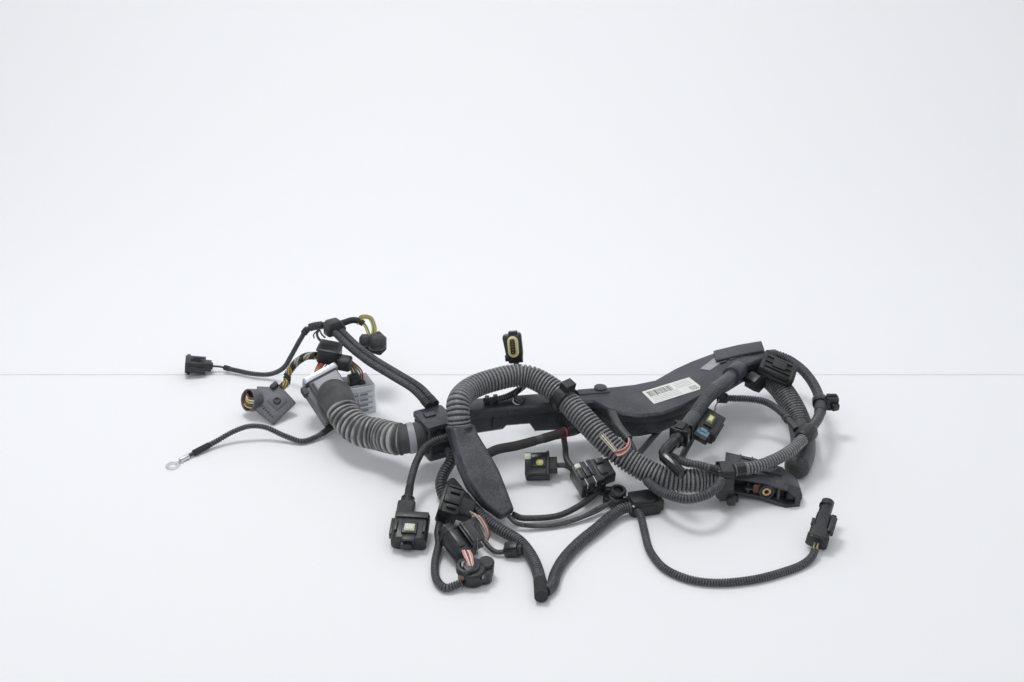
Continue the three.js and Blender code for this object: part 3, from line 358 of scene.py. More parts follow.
COLOURS = {
    "black_wire": (0.015, 0.015, 0.017), "grey_wire": (0.2, 0.2, 0.2), "beige_wire": (0.42, 0.36, 0.26),
    "yellow_wire": (0.55, 0.5, 0.12), "green_wire": (0.2, 0.26, 0.07), "white_wire": (0.66, 0.66, 0.62),
    "red_wire": (0.36, 0.03, 0.03), "orange_wire": (0.55, 0.16, 0.06), "brown_wire": (0.16, 0.08, 0.045),
    "pink_wire": (0.62, 0.3, 0.27), "red_tape": (0.36, 0.045, 0.06), "dark_tape": (0.05, 0.02, 0.025),
    "lime": (0.56, 0.58, 0.15), "cream": (0.7, 0.7, 0.42), "pale": (0.62, 0.64, 0.58),
    "blue_grey": (0.16, 0.25, 0.32), "tie": (0.7, 0.71, 0.72), "grey_patch": (0.34, 0.35, 0.37),
    "rust": (0.14, 0.075, 0.045), "steel_grey": (0.24, 0.25, 0.27), "copper_brown": (0.19, 0.12, 0.1),
}
LOOKS.update({name: insulation(name, colour) for name, colour in COLOURS.items()})


# Lines through routes

SPLINE_PIECES = 24
ROUTE_STEP = 1
WIRE_STEP = 0.8


def point(layout_mm):
    """A place given in the layout's millimetres, in the frame's metres."""
    return (Vector(layout_mm) + LAYOUT_TO_ORIGIN) * MM


def centripetal(route, step=ROUTE_STEP):
    """Points every step along the centripetal spline through the route."""
    knots = [point(p) for p in route]
    chain = [knots[0] * 2 - knots[1], *knots, knots[-1] * 2 - knots[-2]]
    dense = []
    for before, a, b, after in zip(chain, chain[1:], chain[2:], chain[3:]):
        spans = [max(1e-9, (q - p).length ** 0.5) for p, q in ((before, a), (a, b), (b, after))]
        whole = (b - before) / (spans[0] + spans[1])
        out = ((a - before) / spans[0] - whole + (b - a) / spans[1]) * spans[1]
        into = ((b - a) / spans[1] - (after - a) / (spans[1] + spans[2]) + (after - b) / spans[2]) * spans[1]
        for k in range(SPLINE_PIECES):
            t = k / SPLINE_PIECES
            dense.append(
                a * (2 * t ** 3 - 3 * t ** 2 + 1) + out * (t ** 3 - 2 * t ** 2 + t)
                + b * (3 * t ** 2 - 2 * t ** 3) + into * (t ** 3 - t ** 2)
            )
    dense.append(knots[-1])
    return evenly(dense, step * MM)


def evenly(points, step):
    """The polyline walked in equal steps."""
    lengths = [(b - a).length for a, b in zip(points, points[1:])]
    total = sum(lengths)
    count = max(2, round(total / step))
    walked, index, spent = [points[0]], 0, 0.0
    for k in range(1, count):
        target = total * k / count
        while spent + lengths[index] < target:
            spent += lengths[index]
            index += 1
        walked.append(points[index].lerp(points[index + 1], (target - spent) / lengths[index]))
    walked.append(points[-1])
    return walked


def length_of(points):
    return sum((b - a).length for a, b in zip(points, points[1:]))


def pushed(points, by):
    """The line with both ends drawn out."""
    start = points[0] + (points[0] - points[1]).normalized() * by
    end = points[-1] + (points[-1] - points[-2]).normalized() * by
    return [start, *points, end]


def trimmed(points, start, end):
    """The line with the given lengths cut off its ends."""
    total = length_of(points)
    walked, spent = [], 0.0
    for i, p in enumerate(points):
        if i:
            spent += (p - points[i - 1]).length
        if start <= spent <= total - end:
            walked.append(p)
    return walked


def beside(points, offset):
    """The line moved level to its left by offset."""
    moved = []
    for i, p in enumerate(points):
        ahead = points[min(i + 1, len(points) - 1)] - points[max(i - 1, 0)]
        moved.append(p + Vector((-ahead.y, ahead.x, 0)).normalized() * offset)
    return moved


# Mesh objects

def linked(name, data):
    """A new object at the origin that shows the data."""
    obj = bpy.data.objects.new(name, data)
    bpy.context.scene.collection.objects.link(obj)
    return obj


def evaluated_mesh(obj, name):
    """The object with its modifiers worked out, as a plain mesh object at the origin."""
    bpy.context.view_layer.update()
    mesh = bpy.data.meshes.new_from_object(obj.evaluated_get(bpy.context.evaluated_depsgraph_get()))
    bpy.data.objects.remove(obj)
    mesh.name = name
    return linked(name, mesh)


def joined(name, pieces):
    """Several mesh objects as one, with their materials and attributes kept."""
    first = pieces[0]
    if len(pieces) > 1:
        with bpy.context.temp_override(active_object=first, object=first, selected_objects=pieces,
                                       selected_editable_objects=pieces):
            bpy.ops.object.join()
    first.name = name
    first.data.name = name
    return first


def dressed(piece, slot, *nodes):
    """The piece on the harness, in the place of the given CAD nodes; its slot is not used."""
    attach(piece, "root")
    if nodes:
        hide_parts(*nodes)
    return piece


# Ribbed tubes

TUBE_SIZES = {
    "Diameter": 0.01, "Rib Depth": 0.001, "Rib Pitch": 0.003, "Crest Share": 0.5, "Ribs From": 0.0,
    "Ribs To": 1.0,
    "Start Diameter": 0.01, "End Diameter": 0.01, "Start Taper": 0.001, "End Taper": 0.001,
    "Start Wrap": 0.0, "End Wrap": 10.0, "Ring Step": 0.001,
}
GROOVE_EDGE = 0.18
TAPER = 0.6
COLLAR = 0.6
PLAIN_RING_STEP = 1.5


def sheath_tree():
    """A ribbed tube along a curve, with a plain collar or tape at each end."""
    tree = bpy.data.node_groups.new("ribbed tube", "GeometryNodeTree")
    tree.interface.new_socket(name="Tube", in_out="OUTPUT", socket_type="NodeSocketGeometry")
    tree.interface.new_socket(name="Route", in_out="INPUT", socket_type="NodeSocketGeometry")
    for name, value in TUBE_SIZES.items():
        socket = tree.interface.new_socket(name=name, in_out="INPUT", socket_type="NodeSocketFloat")
        socket.default_value = value
    tree.interface.new_socket(name="Sides", in_out="INPUT", socket_type="NodeSocketInt").default_value = 24
    tree.interface.new_socket(name="Finish", in_out="INPUT", socket_type="NodeSocketMaterial")
    g = Graph(tree)
    given = g.add("NodeGroupInput", out=None)
    size = {s.name: Wire(g, s) for s in given.outputs if s.name}
    rings = {"Curve": size["Route"], "Length": size["Ring Step"]}
    route = g.add("GeometryNodeResampleCurve", {"mode": "LENGTH"}, rings)
    along = g.add("GeometryNodeSplineParameter", out="Length")
    phase = ((along - size["Ribs From"]) / size["Rib Pitch"]).wrapped()
    crest_end = size["Crest Share"]
    groove = phase.ramp(crest_end, crest_end + GROOVE_EDGE) * (1 - phase.ramp(1 - GROOVE_EDGE, 1))
    inside = along.above(size["Ribs From"]) * size["Ribs To"].above(along)
    grooved = groove * inside
    start = 1 - along.ramp(size["Ribs From"] - size["Start Taper"], size["Ribs From"])
    end = along.ramp(size["Ribs To"], size["Ribs To"] + size["End Taper"])
    diameter = size["Diameter"] + start * (size["Start Diameter"] - size["Diameter"])
    diameter = diameter + end * (size["End Diameter"] - size["Diameter"])
    radius = diameter * 0.5 - grooved * size["Rib Depth"]
    wrapped = (1 - along.above(size["Start Wrap"])) + along.above(size["End Wrap"])
    kept = {"along": along, "crest": 1 - grooved, "ribs": inside, "wrap": wrapped, "width": radius}
    for name, value in kept.items():
        route = g.add("GeometryNodeStoreNamedAttribute", {"data_type": "FLOAT", "domain": "POINT"},
                      {"Geometry": route, "Name": name, "Value": value})
    circle = {"Resolution": size["Sides"], "Radius": 1.0}
    profile = g.add("GeometryNodeCurvePrimitiveCircle", {"mode": "RADIUS"}, circle)
    place = g.add("GeometryNodeInputPosition")
    profile = g.add("GeometryNodeStoreNamedAttribute", {"data_type": "FLOAT_VECTOR", "domain": "POINT"},
                    {"Geometry": profile, "Name": "round", "Value": place})
    width = g.add("GeometryNodeInputNamedAttribute", {"data_type": "FLOAT"}, {"Name": "width"})
    tube = g.add("GeometryNodeCurveToMesh", None,
                 {"Curve": route, "Profile Curve": profile, "Scale": width, "Fill Caps": True})
    tube = g.add("GeometryNodeSetShadeSmooth", None, {"Geometry": tube, "Shade Smooth": True})
    tube = g.add("GeometryNodeRealizeInstances", None, {"Geometry": tube})
    tube = g.add("GeometryNodeSetMaterial", None, {"Geometry": tube, "Material": size["Finish"]})
    g.add("NodeGroupOutput", None, {"Tube": tube}, out=None)
    return tree


SHEATH = sheath_tree()


def route_curve(name, points):
    curve = bpy.data.curves.new(name, "CURVE")
    curve.dimensions = "3D"
    spline = curve.splines.new("POLY")
    spline.points.add(len(points) - 1)
    for target, p in zip(spline.points, points):
        target.co = (*p, 1)
    return linked(name + "_route", curve)


def ribbed(name, points, diameter, look, *, depth=0, pitch=3, crest=0.5, start=0, end=0, collar=COLLAR,
           sides=20, start_diameter=None, end_diameter=None, start_taper=TAPER, end_taper=TAPER, rings=8,
           wrap=True):
    """A ribbed tube; start and end are the plain lengths at its ends, taped where wrap is on."""
    total = length_of(points) / MM
    obj = route_curve(name, points)
    modifier = obj.modifiers.new("ribs", "NODES")
    modifier.node_group = SHEATH
    sizes = {
        "Diameter": diameter,
        "Rib Depth": depth,
        "Rib Pitch": pitch,
        "Ribs From": start,
        "Ribs To": total - end,
        "Start Diameter": start_diameter or (diameter + collar if start else diameter),
        "End Diameter": end_diameter or (diameter + collar if end else diameter),
        "Start Taper": start_taper,
        "End Taper": end_taper,
        "Start Wrap": start if wrap else -1,
        "End Wrap": total - end if wrap else total + 1,
        "Ring Step": pitch / rings if depth else PLAIN_RING_STEP,
    }
    values = {name: size * MM for name, size in sizes.items()}
    values.update({"Crest Share": crest, "Sides": sides, "Finish": LOOKS[look]})
    for item in SHEATH.interface.items_tree:
        if item.name in values:
            modifier[item.identifier] = values[item.name]
    return evaluated_mesh(obj, name)


# Cords

TUCK = 1.2

# Diameter, finish, ribs, the bare wires at an end, and the route, each as in the CAD source or, for an
# extra cord that has no solid, as the photograph shows it.
CORDS = {
    "trunk_bundle": dict(
        d=14, look="leads", ribs=dict(start=60, end=60), stiff="stiff", route=[
            (-60, 1.5, 46), (-45, 12.5, 47), (-10, 18.5, 48.5), (20, 23.5, 48.5), (60, 31, 46), (88, 35, 44),
            (120, 27, 46), (160, 34, 49), (205, 71, 51), (250, 110, 52), (286, 132, 53)]),
    "sensor_lead": dict(
        d=6, look="conduit", ribs=dict(depth=0.85, pitch=2.8, crest=0.42, start=8, end=14),
        bare=dict(start=17, d=1.7, sides=(-1, 1), looks=("black_wire", "grey_wire")), route=[
            (-366, 201, 9), (-356, 203, 7), (-337, 196, 6), (-311, 186, 6), (-292, 182, 8), (-274, 175, 20),
            (-261, 167, 42), (-248, 161, 66), (-238, 161, 80), (-217.6, 158.7, 86.3)]),
    "branch_lead": dict(
        d=7, look="leads", ribs=dict(start=40),
        bare=dict(end=15, d=2, sides=(-1.2, 1.2), looks=("yellow_wire", "green_wire")), route=[
            (-197.9, 164.1, 85.5), (-185, 171, 86), (-174, 169, 82), (-167.8, 162, 72.4)]),
    "striped_bundle": dict(
        d=9, look="striped", ribs=dict(depth=0.8), route=[
            (-266, 113.3, 27.8), (-261, 118.4, 31), (-260, 126, 38), (-251, 130, 50), (-237, 125, 62),
            (-224.7, 118.4, 66.5)]),
    "ground_lead": dict(
        d=6.4, look="conduit", ribs=dict(depth=0.85, pitch=2.9, crest=0.42, start=14, end=20),
        bare=dict(end=8, d=4.2, sides=(0,), looks=("leads",)), route=[
            (-203.1, 54.3, 9.2), (-217, 42, 5), (-233, 33, 4), (-253, 38, 8), (-275, 43, 16), (-291, 42, 18),
            (-308, 38, 14), (-328, 26, 7.2), (-343, 13, 4.6), (-353, 3, 3.5)]),
    "loop_conduit": dict(
        d=25, look="loop", ribs=dict(depth=1.9, pitch=4.1, crest=0.44, sides=32), stiff="stiff", route=[
            (-55, -41, 68), (-56, -36, 78), (-56, -26, 86), (-50, -8, 88), (-38, 6, 89), (-18, 18, 90),
            (3, 27, 90), (20, 27, 88), (36, 18, 84), (53, 3, 78), (72, -20, 68), (91, -41, 56),
            (109, -56, 45),
            (132, -68, 34), (157, -80, 28), (183, -81.5, 26), (197, -79.5, 26), (209.1, -79.5, 26)]),
    "boot_cable": dict(
        d=8, look="leads", ribs=dict(depth=0.6, pitch=2.4, start=14, end=18), route=[
            (-67, -29.4, 52), (-65.2, -32.8, 52.3), (-65.5, -37, 53), (-71, -42, 53.5), (-80, -46, 52.5),
            (-90, -51, 48), (-98, -64, 40), (-103, -84, 31), (-105, -112, 24)]),
    "wide_rib_conduit": dict(
        d=12.4, look="conduit", ribs=dict(depth=1.8, pitch=3.7, crest=0.36), route=[
            (-66.2, -28.5, 30), (-63.4, -33.8, 30), (-64.5, -43, 25.5), (-71, -55, 19), (-74, -68, 14.5),
            (-71, -82, 9), (-63, -93, 7)]),
    "joint_sleeve": dict(
        d=11, look="leads", on="folded_conduit", ribs=dict(start=30, end=30), route=[
            (-62.5, -77, 20), (-48.5, -99, 16), (-34.5, -121, 13.5)]),
    "folded_conduit": dict(
        d=12, look="conduit", ribs=dict(depth=1.3, pitch=3.1, crest=0.42, end=24, collar=1), route=[
            (-34.2, -121.5, 13.4), (-31, -126.5, 12.8), (-15, -144, 11), (7, -164, 9), (20, -192, 8),
            (26, -224, 8.5), (27, -250, 8.5)]),
    "return_conduit": dict(
        d=11.5, look="conduit", ribs=dict(depth=1.3, pitch=3.1, crest=0.42), route=[
            (31.5, -240.5, 7.4), (37.8, -230, 6.3), (41, -214, 6), (49, -192, 6.5), (65, -165, 7),
            (85, -140, 8), (102, -119, 9.5), (112, -110, 10.5), (119.6, -107.2, 10.5)]),
    "short_conduit": dict(
        d=8, look="conduit", ribs=dict(depth=0.95, pitch=2.6, crest=0.45), route=[
            (-71.8, -139, 13.6), (-73, -150, 10), (-71.4, -168, 8.8), (-74, -193, 5), (-71, -221, 5),
            (-62, -233, 5), (-47.9, -228.6, 7)]),
    "floor_cable": dict(
        d=5, look="conduit", ribs=dict(depth=0.45, pitch=2), route=[
            (-2.6, -125.5, 11.5), (4, -131, 8), (18, -132, 5), (43, -129, 4), (69, -118, 5), (90, -104, 8),
            (101.5, -98.2, 9.9)]),
    "duct_cable": dict(
        d=9.5, look="leads", ribs=dict(start=60, end=80), route=[
            (-28.6, -55.5, 40.3), (-15, -48, 43), (3, -43, 44), (30, -31, 45), (53, -20, 46), (68, -12, 45),
            (79, 2, 43), (84, 15, 42), (84.3, 21.5, 42)]),
    "hanging_lead": dict(
        d=6, look="conduit", ribs=dict(depth=0.5, pitch=2.1), route=[
            (48.4, -36, 16), (57, -37, 16), (67, -45, 13), (77, -59, 10), (87, -73, 9), (96.1, -81, 9)]),
    "cover_sleeve": dict(
        d=10, look="leads", on="cover_cable", ribs=dict(), route=[
            (106.9, -4, 60.1), (112, -27, 58), (121, -43, 53)]),
    "cover_cable": dict(
        d=6, look="leads", extra=True, ribs=dict(), route=[
            (105, 4, 58), (106.9, -4, 60.1), (112, -27, 58), (121, -43, 53), (126, -52, 47), (128, -58, 42)]),
    "front_loop": dict(
        d=10, look="conduit", ribs=dict(depth=1.1, pitch=2.9, crest=0.45), route=[
            (139, -90.2, 30.2), (146, -103, 30), (158, -119, 33), (175, -131, 36), (193, -126, 38),
            (207, -110, 38), (210.7, -101.5, 38)]),
    "outlet_tube": dict(
        d=14.5, look="conduit", ribs=dict(depth=1.3, pitch=3.2, crest=0.45, start=46, end=26, wrap=False),
        route=[
            (244, 68, 67), (235, 51, 69.5), (221, 31, 71), (206, 7, 69), (192, -18, 65), (180, -39, 62)]),
    "front_lead": dict(
        d=8, look="conduit", ribs=dict(depth=0.95, pitch=2.6, crest=0.45),
        bare=dict(end=10, d=1.8, sides=(-1.6, 1.6), looks=("beige_wire", "beige_wire")), route=[
            (128.05, -111.6, 8.5), (129.8, -118.3, 8.3), (132, -142, 4.6), (135, -175, 4.2), (147, -203, 4.2),
            (168, -219, 4.2), (192, -224, 4.2), (225, -220, 4.2), (255, -209, 4.2), (280, -195, 4.4),
            (291, -184, 6.5), (297, -170, 11)]),
    "inner_arc": dict(
        d=8, look="conduit", ribs=dict(depth=1, pitch=2.7, crest=0.42, start=12, collar=3.5), route=[
            (229.1, 57.9, 45), (246, 55, 46), (262, 54, 46), (280, 47, 46), (293, 29, 45), (300, 7, 44),
            (303.6, -8.4, 44)]),
    "outer_arc": dict(
        d=11.5, look="conduit", ribs=dict(depth=1.1, crest=0.46), route=[
            (290.6, 140, 54), (299, 143, 53.5), (309, 147, 52), (321, 143, 49), (335, 122, 46), (343, 88, 43),
            (342, 52, 42), (334, 20, 43), (319.5, -7.7, 44)]),
    "ribbed_link": dict(
        d=13, look="loop", ribs=dict(depth=1.7, pitch=3.4, crest=0.38, end=13, wrap=False), route=[
            (305.8, -31.3, 44), (290, -51, 43), (271, -67, 42), (249, -79, 41), (227.7, -85, 41)]),
    "woven_hose": dict(
        d=26, look="hose", stiff="stiff",
        ribs=dict(depth=1.2, pitch=3.7, crest=0.42, end=78, collar=1, sides=32, wrap=False), route=[
            (293.2, 118.5, 42.1), (305, 97, 37), (315, 68, 29), (320, 40, 20), (318, 12, 14.6),
            (312, -14, 13.7),
            (303, -35, 13.7)]),
    "under_cable": dict(
        d=6.5, look="leads", extra=True, ribs=dict(), route=[
            (57, 18, 29), (56, 4, 28), (56.8, -14.6, 27), (58.3, -35.2, 22), (66.3, -48.6, 18), (77, -60, 15),
            (88, -68, 15)]),
    "far_cable": dict(
        d=6.5, look="leads", extra=True, ribs=dict(depth=0.3, pitch=2), route=[
            (2, -123, 12), (8, -122, 8), (18, -121, 6.5), (46, -116, 6), (68, -103, 9), (86, -85, 12),
            (94, -76, 14)]),
    "fine_cable": dict(
        d=2.4, look="leads", extra=True, ribs=dict(), route=[
            (14, -134, 8), (30, -133, 4), (52, -128, 4), (74, -118, 6), (90, -110, 9), (101, -99, 12)]),
    "cover_lead": dict(
        d=6.5, look="leads", extra=True, ribs=dict(), route=[
            (176, 34, 36), (167.6, 24.1, 31), (150.9, -3.4, 30), (138, -32, 33), (131, -48, 36)]),
    "clip_lead": dict(
        d=7, look="leads", extra=True, ribs=dict(), route=[
            (206, 14, 44), (196, -3.4, 35), (187, -22, 31), (180.4, -38.1, 30), (176, -54, 32)]),
    "clamp_lead": dict(
        d=8.5, look="conduit", extra=True, ribs=dict(depth=0.8, pitch=2.8, start=11, wrap=False), route=[
            (209.5, -88, 42), (199, -86, 45), (191.8, -83.3, 46), (181, -80, 46), (172, -72, 45),
            (165, -60.7, 42), (158, -48, 38)]),
    "lower_cable": dict(
        d=5, look="leads", extra=True, ribs=dict(), route=[
            (-36, -150, 18), (-30, -158, 12), (-26.5, -164, 8), (-16, -176, 5), (-5, -176, 6), (3, -170, 8)]),
    "rim_conduit": dict(
        d=7, look="conduit", ribs=dict(depth=0.9, pitch=2.5, crest=0.44), route=[
            (-29, 14, 66.2), (-8, 21, 66.6), (6, 31, 69), (18, 43, 74), (20, 54, 77), (14, 60, 79),
            (8, 62.5, 80.5), (5, 64, 83), (4.5, 65, 86)]),
}
SLOTS = {"hose": "sleeve", "striped": "wires"}
LINES = {name: pushed(centripetal(cord["route"]), TUCK * MM) for name, cord in CORDS.items()}


def sheathed(name, cord):
    """The cord's sheath, and the thin wires that show where it stops short of its connector."""
    line, bare = LINES[name], cord.get("bare")
    if not bare:
        return ribbed(name + "_sheath", line, cord["d"], cord["look"], **cord["ribs"])
    cut = trimmed(line, bare.get("start", 0) * MM, bare.get("end", 0) * MM)
    pieces = [ribbed(name + "_sheath", cut, cord["d"], cord["look"], **cord["ribs"])]
    for k, (side, look) in enumerate(zip(bare["sides"], bare["looks"])):
        pieces.append(ribbed(f"{name}_core_{k}", beside(line, side * MM), bare["d"], look, sides=10))
    return joined(name + "_sheath", pieces)


SHEATHS = {name: sheathed(name, cord) for name, cord in CORDS.items()}
for name, cord in CORDS.items():
    dressed(SHEATHS[name], SLOTS.get(cord["look"], "conduit"), *([] if cord.get("extra") else [name]))

# Twin conduit: two ribbed tubes side by side

TWIN_DIAMETER = 8.4
TWIN_RIBS = dict(depth=1.1, pitch=3.1, crest=0.4, end=12)
TWIN_ROUTE = [
    (-200.1, 145.3, 82.3), (-183, 119, 80), (-159, 90, 76), (-129, 58, 74), (-103, 30, 72), (-86, 5, 66.8),
]
twin_line = centripetal(TWIN_ROUTE)
twin_sides = [pushed(beside(twin_line, side * TWIN_DIAMETER / 2 * MM), TUCK * MM) for side in (-1, 1)]
twin = joined("twin_conduit_sheath", [
    ribbed(f"twin_{k}", side, TWIN_DIAMETER, "conduit", **TWIN_RIBS) for k, side in enumerate(twin_sides)
])
dressed(twin, "conduit", "twin_conduit")


# Solid pieces that keep their CAD shape

WELD = 2e-6
COPLANAR = 0.6
SHARP_CORNER = 28
SMOOTH_BELOW = 38


def finished(node, look, slot, edge):
    """A CAD node's shape with its flat faces joined, its edges rounded and its finish on."""
    mesh = NODES[node].data.copy()
    work = bmesh.new()
    work.from_mesh(mesh)
    bmesh.ops.remove_doubles(work, verts=work.verts, dist=WELD)
    bmesh.ops.dissolve_limit(work, angle_limit=math.radians(COPLANAR), verts=work.verts, edges=work.edges)
    work.to_mesh(mesh)
    work.free()
    mesh.materials.clear()
    mesh.materials.append(LOOKS[look])
    obj = linked(node + "_shape", mesh)
    rounding = obj.modifiers.new("rounding", "BEVEL")
    rounding.width = edge * MM
    rounding.segments = 2
    rounding.limit_method = "ANGLE"
    rounding.angle_limit = math.radians(SHARP_CORNER)
    rounding.use_clamp_overlap = True
    rounding.harden_normals = False
    piece = evaluated_mesh(obj, node + "_body")
    piece.data.shade_smooth()
    piece.data.set_sharp_from_angle(angle=math.radians(SMOOTH_BELOW))
    dressed(piece, slot, node)


# Finish, slot and width of the rounded edges
SOLIDS = {
    "duct_tray": ("duct", "duct", 0.5),
    "duct_cover": ("duct", "duct", 0.7),
    "junction_box": ("duct", "duct", 0.7),
    "junction_lid": ("duct", "duct", 0.7),
    "module_hood": ("hood", "rubber", 0.8),
    "module_frame": ("plated", "plated", 0.7),
    "module_block": ("light_block", "light_plastic", 0.5),
    "branch_cap": ("cap", "rubber", 2.4),
    "sensor_connector": ("plastic", "plastic", 0.5),
    "covered_connector": ("cap", "rubber", 1.2),
    "ring_terminal": ("tinned", "terminal", 0.2),
    "elbow_plug": ("plastic", "plastic", 0.8),
    "pin_connector": ("plastic", "plastic", 0.5),
    "sleeve_connector": ("plastic", "plastic", 0.5),
    "round_connector": ("plastic", "plastic", 0.6),
    "black_connector": ("plastic", "plastic", 0.6),
    "hanging_connector": ("plastic", "plastic", 0.5),
    "blade_connector": ("plastic", "plastic", 0.5),
    "branch_housing": ("plastic", "plastic", 1.2),
    "elbow_connector": ("gloss", "plastic", 0.9),
    "lock_connector": ("plastic", "plastic", 0.5),
    "nose_connector": ("plastic", "plastic", 0.8),
    "flat_connector": ("plastic", "plastic", 0.5),
    "cap_sensor": ("plastic", "plastic", 0.8),
    "upright_connector": ("plastic", "plastic", 0.8),
    "flat_shroud": ("duct", "duct", 2.5),
    "loop_clip": ("plastic", "plastic", 0.3),
    "arc_clip": ("plastic", "plastic", 0.3),
    "arc_tape": ("leads", "sleeve", 0.8),
    "link_clamp": ("plastic", "plastic", 1.0),
    "lower_bracket": ("duct", "duct", 0.5),
    "bracket_insert": ("brass", "brass", 0.3),
}
for node, (look, slot, edge) in SOLIDS.items():
    finished(node, look, slot, edge)


# Shapes of details, drawn in millimetres

EDGE_SHARE = 0.45
RIM_SHARE = 0.4
CORNER_STEPS = 6
DETAIL_SMOOTH_BELOW = 40
SEAT_GAP = 0.3


def placed(at, aim, up=(0, 0, 1)):
    """Carries a piece drawn in millimetres, Z along aim and Y near up, to a layout point."""
    forward = Vector(aim).normalized()
    side = Vector(up).cross(forward).normalized()
    over = forward.cross(side)
    turn = Matrix((side, over, forward)).transposed().to_4x4()
    return Matrix.Translation(point(at)) @ turn @ Matrix.Scale(MM, 4)


def on_end(cord, last, up=(0, 0, 1)):
    """The same on an end of a cord, the seat gap off its face."""
    line = centripetal(CORDS[cord]["route"])
    tip, before = (line[-1], line[-2]) if last else (line[0], line[1])
    aim = (tip - before).normalized()
    return placed(tip / MM - LAYOUT_TO_ORIGIN + aim * SEAT_GAP, aim, up)


def upright_at(at, y_axis):
    """The same for a piece that stands on the floor, turned about its height."""
    return placed(at, (0, 0, 1), y_axis)


LAYOUT = upright_at((0, 0, 0), (0, 1, 0))


def made(name, shape, look, place):
    """A bmesh drawn in millimetres as a placed mesh object."""
    bmesh.ops.recalc_face_normals(shape, faces=shape.faces)
    bmesh.ops.transform(shape, matrix=place, verts=shape.verts)
    mesh = bpy.data.meshes.new(name)
    shape.to_mesh(mesh)
    shape.free()
    mesh.shade_smooth()
    mesh.set_sharp_from_angle(angle=math.radians(DETAIL_SMOOTH_BELOW))
    mesh.materials.append(LOOKS[look])
    return linked(name, mesh)


def rounded(shape, edges, width, segments=2):
    bmesh.ops.bevel(shape, geom=edges, offset=width, segments=segments, affect="EDGES", profile=0.5)


def raised(shape, face, by):
    """The face drawn out into a plate; returns the vertices of its far side."""
    grown = bmesh.ops.extrude_face_region(shape, geom=[face])
    far = [v for v in grown["geom"] if isinstance(v, bmesh.types.BMVert)]
    bmesh.ops.translate(shape, verts=far, vec=by)
    return far


def slab(place, size, at, edge=0.6, look="plastic", *, segments=2, turn=0):
    """A rounded block, its centre at a local point, turned about local Z."""
    shape = bmesh.new()
    bmesh.ops.create_cube(shape, size=1)
    bmesh.ops.scale(shape, vec=size, verts=shape.verts)
    rounded(shape, shape.edges[:], min(edge, min(size) * EDGE_SHARE), segments)
    about = Matrix.Rotation(math.radians(turn), 3, "Z")
    bmesh.ops.rotate(shape, verts=shape.verts, cent=(0, 0, 0), matrix=about)
    bmesh.ops.translate(shape, verts=shape.verts, vec=at)
    return made("slab", shape, look, place)


def pad(place, size, at, corner, look, edge=0.4):
    """A flat piece facing local +Y whose outline has round corners."""
    wide, thick, tall = size
    corner = min(corner, wide / 2 - 0.01, tall / 2 - 0.01)
    shape = bmesh.new()
    rim = []
    for k, (sx, sz) in enumerate(((1, 1), (-1, 1), (-1, -1), (1, -1))):
        for step in range(CORNER_STEPS + 1):
            angle = math.pi / 2 * (k + step / CORNER_STEPS)
            x = (wide / 2 - corner) * sx + corner * math.cos(angle)
            z = (tall / 2 - corner) * sz + corner * math.sin(angle)
            rim.append(shape.verts.new((x, -thick / 2, z)))
    front = raised(shape, shape.faces.new(rim), (0, thick, 0))
    front_edges = [e for e in shape.edges if all(v in front for v in e.verts)]
    rounded(shape, front_edges, min(edge, thick * RIM_SHARE))
    bmesh.ops.translate(shape, verts=shape.verts, vec=at)
    return made("pad", shape, look, place)


def sheet(corners, thickness, look, edge):
    """A plate with the given layout corners on its middle face."""
    shape = bmesh.new()
    ring = [Vector(c) + LAYOUT_TO_ORIGIN for c in corners]
    normal = geometry.normal(ring[:3])
    back = shape.faces.new([shape.verts.new(c - normal * thickness / 2) for c in ring])
    raised(shape, back, normal * thickness)
    rounded(shape, shape.edges[:], edge)
    return made("sheet", shape, look, Matrix.Scale(MM, 4))


def barrel(place, profile, at=(0, 0, 0), look="plastic", *, sides=28, aim=(0, 0, 1)):
    """A solid of revolution from (radius, height) points, its axis along aim."""
    shape = bmesh.new()
    rings = []
    for radius, height in profile:
        angles = [2 * math.pi * k / sides for k in range(sides if radius > 0 else 1)]
        circle = [(radius * math.cos(a), radius * math.sin(a), height) for a in angles]
        rings.append([shape.verts.new(corner) for corner in circle])
    for low, high in zip(rings, rings[1:]):
        for k in range(sides):
            ahead = (k + 1) % sides
            corners = ((low, k), (low, ahead), (high, ahead), (high, k))
            unique = list(dict.fromkeys(ring[at_corner % len(ring)] for ring, at_corner in corners))
            if len(unique) > 2:
                shape.faces.new(unique)
    turn = Vector((0, 0, 1)).rotation_difference(Vector(aim)).to_matrix()
    bmesh.ops.rotate(shape, verts=shape.verts, cent=(0, 0, 0), matrix=turn)
    bmesh.ops.translate(shape, verts=shape.verts, vec=at)
    return made("barrel", shape, look, place)


def wire(points, diameter, look, place=None):
    """A thin wire through layout points, or through local ones of a place."""
    if place:
        points = [tuple(place @ Vector(p) / MM - LAYOUT_TO_ORIGIN) for p in points]
    return ribbed("wire", centripetal(points, WIRE_STEP), diameter, look, sides=10)


def band(cord, start, length, thicker, look):
    """A short plain sleeve around a cord, start millimetres from its beginning."""
    line = LINES[cord]
    rest = length_of(line) / MM - start - length
    part = trimmed(line, start * MM, max(0, rest) * MM)
    return ribbed("band", part, CORDS[cord]["d"] + thicker, look, sides=24)


def assemble(name, slot, *pieces):
    return dressed(joined(name, list(pieces)), slot)


# Bellows hose and its clamp. The route is the CAD source's, moved by a few millimetres to where the
# photograph has the hose, and it runs on into the junction box.

